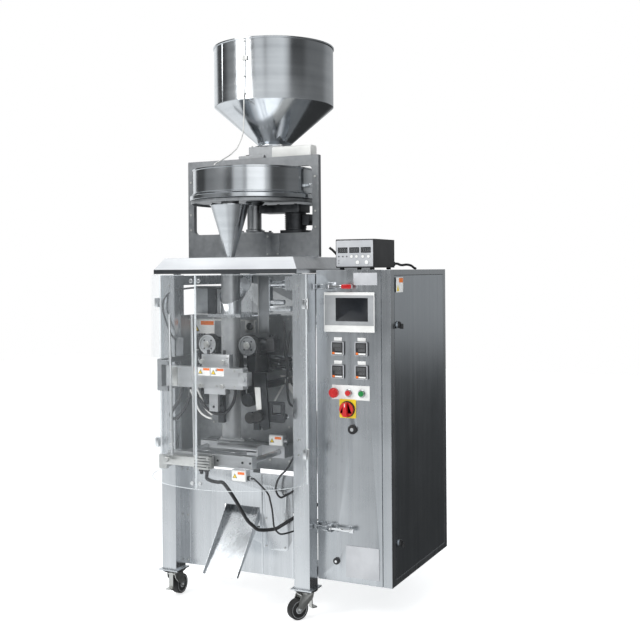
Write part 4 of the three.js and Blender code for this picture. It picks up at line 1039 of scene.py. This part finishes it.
def control_box():
    dress("control_box", "black", 2.0, 40)
    face = Kit("control_face", "base", "panel_silver")
    face.slab(rounded(421, 577, 1373, 1475, 3), "y", 98.6, 100.4, 0.5)
    face.done()
    windows = Kit("control_windows", "base", "screen")
    glow = Kit("control_digits", "base", "digit_dim")
    for x in (427.5, 477, 526):
        windows.slab(rounded(x, x + 42, 1426, 1448, 1.5), "y", 97.8, 99.2, 0.4)
        digits(glow, x + 3, x + 39, 1430, 1444, 97.5, 4)
    windows.done()
    glow.done()
    dots = Kit("control_dots", "base", "black")
    for x in (432, 449, 466):
        dots.cyl("y", 3, 97.8, 99, x, 1412, 0.5, 16)
    for z in (1396, 1386):
        dots.cyl("y", 2, 97.8, 99, 432, z, 0.4, 14)
    dots.done()
    keys = Kit("control_keys", "base", "grey_paint")
    caps = Kit("control_caps", "base", "label")
    for x, z, r in ((487, 1412, 7.5), (508, 1412, 7.5), (534, 1412, 7.5), (558, 1412, 7.5),
                    (512, 1389, 9.5), (550, 1389, 9.5)):
        keys.cyl("y", r, 97.4, 99, x, z, 0.6, 28)
        caps.cyl("y", r - 1.6, 96.6, 98, x, z, 0.6, 28)
    keys.done()
    caps.done()
    feet = Kit("control_feet", "base", "rubber")
    for x in (434, 563):
        for y in (124, 293):
            feet.cyl("z", 9.4, 1360.5, 1368, x, y, 1.5, 24)
    feet.done()
    tail = Kit("control_tail", "base", "cord_black")
    tail.box(545, 578, 313, 330, 1374, 1392, 2)
    tail.wire([(566, 326, 1382), (576, 352, 1384), (584, 380, 1378), (600, 400, 1380), (612, 418, 1376),
               (622, 430, 1366), (624, 440, 1364)], 5, 12)
    tail.done()
    left = Kit("control_plugs", "base", "black")
    left.box(404, 418, 250, 275, 1376, 1390, 2).cyl("x", 7, 392, 406, 262, 1383, 1, 20)
    left.wire([(394, 262, 1383), (376, 262, 1390), (352, 262, 1418), (330, 262, 1440), (316, 256, 1452)], 5, 12)
    left.done()


cabinet()
instruments()
buttons()
latches()
control_box()


# ------------------------------------------------------------------ floor, world and lights
def floor():
    mesh = bpy.data.meshes.new("floor")
    half = 9.0
    part = bmesh.new()
    corners = [part.verts.new((x * half, y * half, 0)) for x, y in ((-1, -1), (1, -1), (1, 1), (-1, 1))]
    part.faces.new(corners)
    part.to_mesh(mesh)
    part.free()
    mesh.materials.append(MATERIALS["floor"])
    plane = bpy.data.objects.new("floor", mesh)
    bpy.context.scene.collection.objects.link(plane)
    plane.visible_glossy = False


def lamp(name, place, aim, size, power, tone=(1, 1, 1)):
    data = bpy.data.lights.new(name, "AREA")
    data.shape = "RECTANGLE"
    data.size, data.size_y = size
    data.energy = power
    data.color = tone
    light = bpy.data.objects.new(name, data)
    light.location = at(*place)
    light.rotation_euler = (at(*aim) - at(*place)).to_track_quat("-Z", "Y").to_euler()
    bpy.context.scene.collection.objects.link(light)


def world():
    """A studio whose walls change with direction: tall light and dark bands, and a bright ceiling."""
    space = bpy.data.worlds.new("studio")
    bpy.context.scene.world = space
    space.use_nodes = True
    nodes, links = space.node_tree.nodes, space.node_tree.links
    nodes.clear()

    def math_node(kind, *values):
        made = nodes.new("ShaderNodeMath")
        made.operation = kind
        for socket, value in zip(made.inputs, values):
            if isinstance(value, (int, float)):
                socket.default_value = value
            else:
                links.new(value, socket)
        return made.outputs[0]

    def facing(x, y):
        made = nodes.new("ShaderNodeVectorMath")
        made.operation = "DOT_PRODUCT"
        links.new(place, made.inputs[0])
        made.inputs[1].default_value = (x, y, 0)
        return made.outputs["Value"]

    def bands(stops, value):
        ramp = nodes.new("ShaderNodeValToRGB")
        for where, _ in stops[1:-1]:
            ramp.color_ramp.elements.new(where)
        for element, (where, level) in zip(ramp.color_ramp.elements, stops):
            element.position = where
            element.color = (0.97 * level, level, 1.02 * level, 1)
        links.new(value, ramp.inputs["Fac"])
        return ramp.outputs["Color"]

    def blend(factor, first, second):
        mix = nodes.new("ShaderNodeMix")
        mix.data_type = "RGBA"
        links.new(factor, mix.inputs["Factor"])
        links.new(first, mix.inputs[6])
        links.new(second, mix.inputs[7])
        return mix.outputs[2]

    def step(value, low, high):
        made = nodes.new("ShaderNodeMapRange")
        made.interpolation_type = "SMOOTHSTEP"
        made.inputs["From Min"].default_value = low
        made.inputs["From Max"].default_value = high
        links.new(value, made.inputs["Value"])
        return made.outputs["Result"]

    place = nodes.new("ShaderNodeTexCoord").outputs["Generated"]
    split = nodes.new("ShaderNodeSeparateXYZ")
    links.new(place, split.inputs[0])
    height = split.outputs["Z"]
    angle = math_node("ARCTAN2", facing(0.878, 0.479), facing(0.479, -0.878))
    turn = math_node("MULTIPLY_ADD", angle, 0.5 / math.pi, 0.5)
    walls = bands(WALL_BANDS, turn)
    low = bands(FLOOR_BANDS, turn)
    sky = bands(CEILING_BANDS, turn)
    deep = bands(DEEP_BANDS, turn)
    ground = blend(step(height, -0.32, -0.14), deep, low)
    room = blend(step(height, 0.3, 0.55), blend(step(height, -0.12, -0.05), ground, walls), sky)
    light = nodes.new("ShaderNodeBackground")
    links.new(room, light.inputs["Color"])
    light.inputs["Strength"].default_value = 0.9
    seen = nodes.new("ShaderNodeBackground")
    seen.inputs["Color"].default_value = (1, 1, 1, 1)
    mix = nodes.new("ShaderNodeMixShader")
    links.new(nodes.new("ShaderNodeLightPath").outputs["Is Camera Ray"], mix.inputs["Fac"])
    links.new(light.outputs["Background"], mix.inputs[1])
    links.new(seen.outputs["Background"], mix.inputs[2])
    out = nodes.new("ShaderNodeOutputWorld")
    links.new(mix.outputs["Shader"], out.inputs["Surface"])


# Brightness round the studio, by turn: 0.5 faces the camera, and more goes to its right.
WALL_BANDS = [
    (0.0, 1.2), (0.10, 1.1), (0.12, 0.1), (0.20, 0.08), (0.23, 0.3), (0.33, 0.36), (0.36, 0.16), (0.385, 0.12),
    (0.40, 0.9), (0.44, 0.95), (0.455, 0.5), (0.47, 0.9), (0.55, 1.1), (0.575, 0.7), (0.595, 0.1), (0.66, 0.12),
    (0.69, 0.22), (0.80, 0.24), (0.85, 0.42), (1.0, 0.5),
]
DEEP_BANDS = [
    (0.0, 1.1), (0.20, 1.35), (0.40, 1.3), (0.47, 0.9), (0.52, 0.9), (0.62, 0.3), (0.78, 0.06), (0.93, 0.05),
    (1.0, 0.5),
]
FLOOR_BANDS = [
    (0.0, 0.8), (0.30, 0.75), (0.40, 0.6), (0.455, 0.16), (0.50, 0.14), (0.53, 0.8), (0.57, 0.7), (0.62, 0.2),
    (0.78, 0.12), (0.84, 0.07), (0.93, 0.05), (1.0, 0.3),
]
CEILING_BANDS = [(0.0, 0.9), (0.25, 1.1), (0.5, 1.0), (0.62, 0.5), (0.75, 0.3), (1.0, 0.6)]


def lights():
    lamp("key", (-1500, -2300, 3100), (0, 0, 1300), (1.6, 1.6), 30)
    lamp("mechanism", (-700, -1500, 1500), (0, 60, 960), (0.7, 0.7), 9)
    bpy.data.objects["mechanism"].visible_glossy = False
    lamp("fill", (1800, -2600, 1500), (200, 0, 900), (1.8, 1.8), 6)
    lamp("top", (100, -300, 4200), (0, 200, 1200), (2.0, 1.4), 20)


floor()
world()
lights()
scene = bpy.context.scene
scene.view_settings.view_transform = "Standard"
scene.view_settings.look = "None"
scene.view_settings.exposure = 0
scene.view_settings.gamma = 1
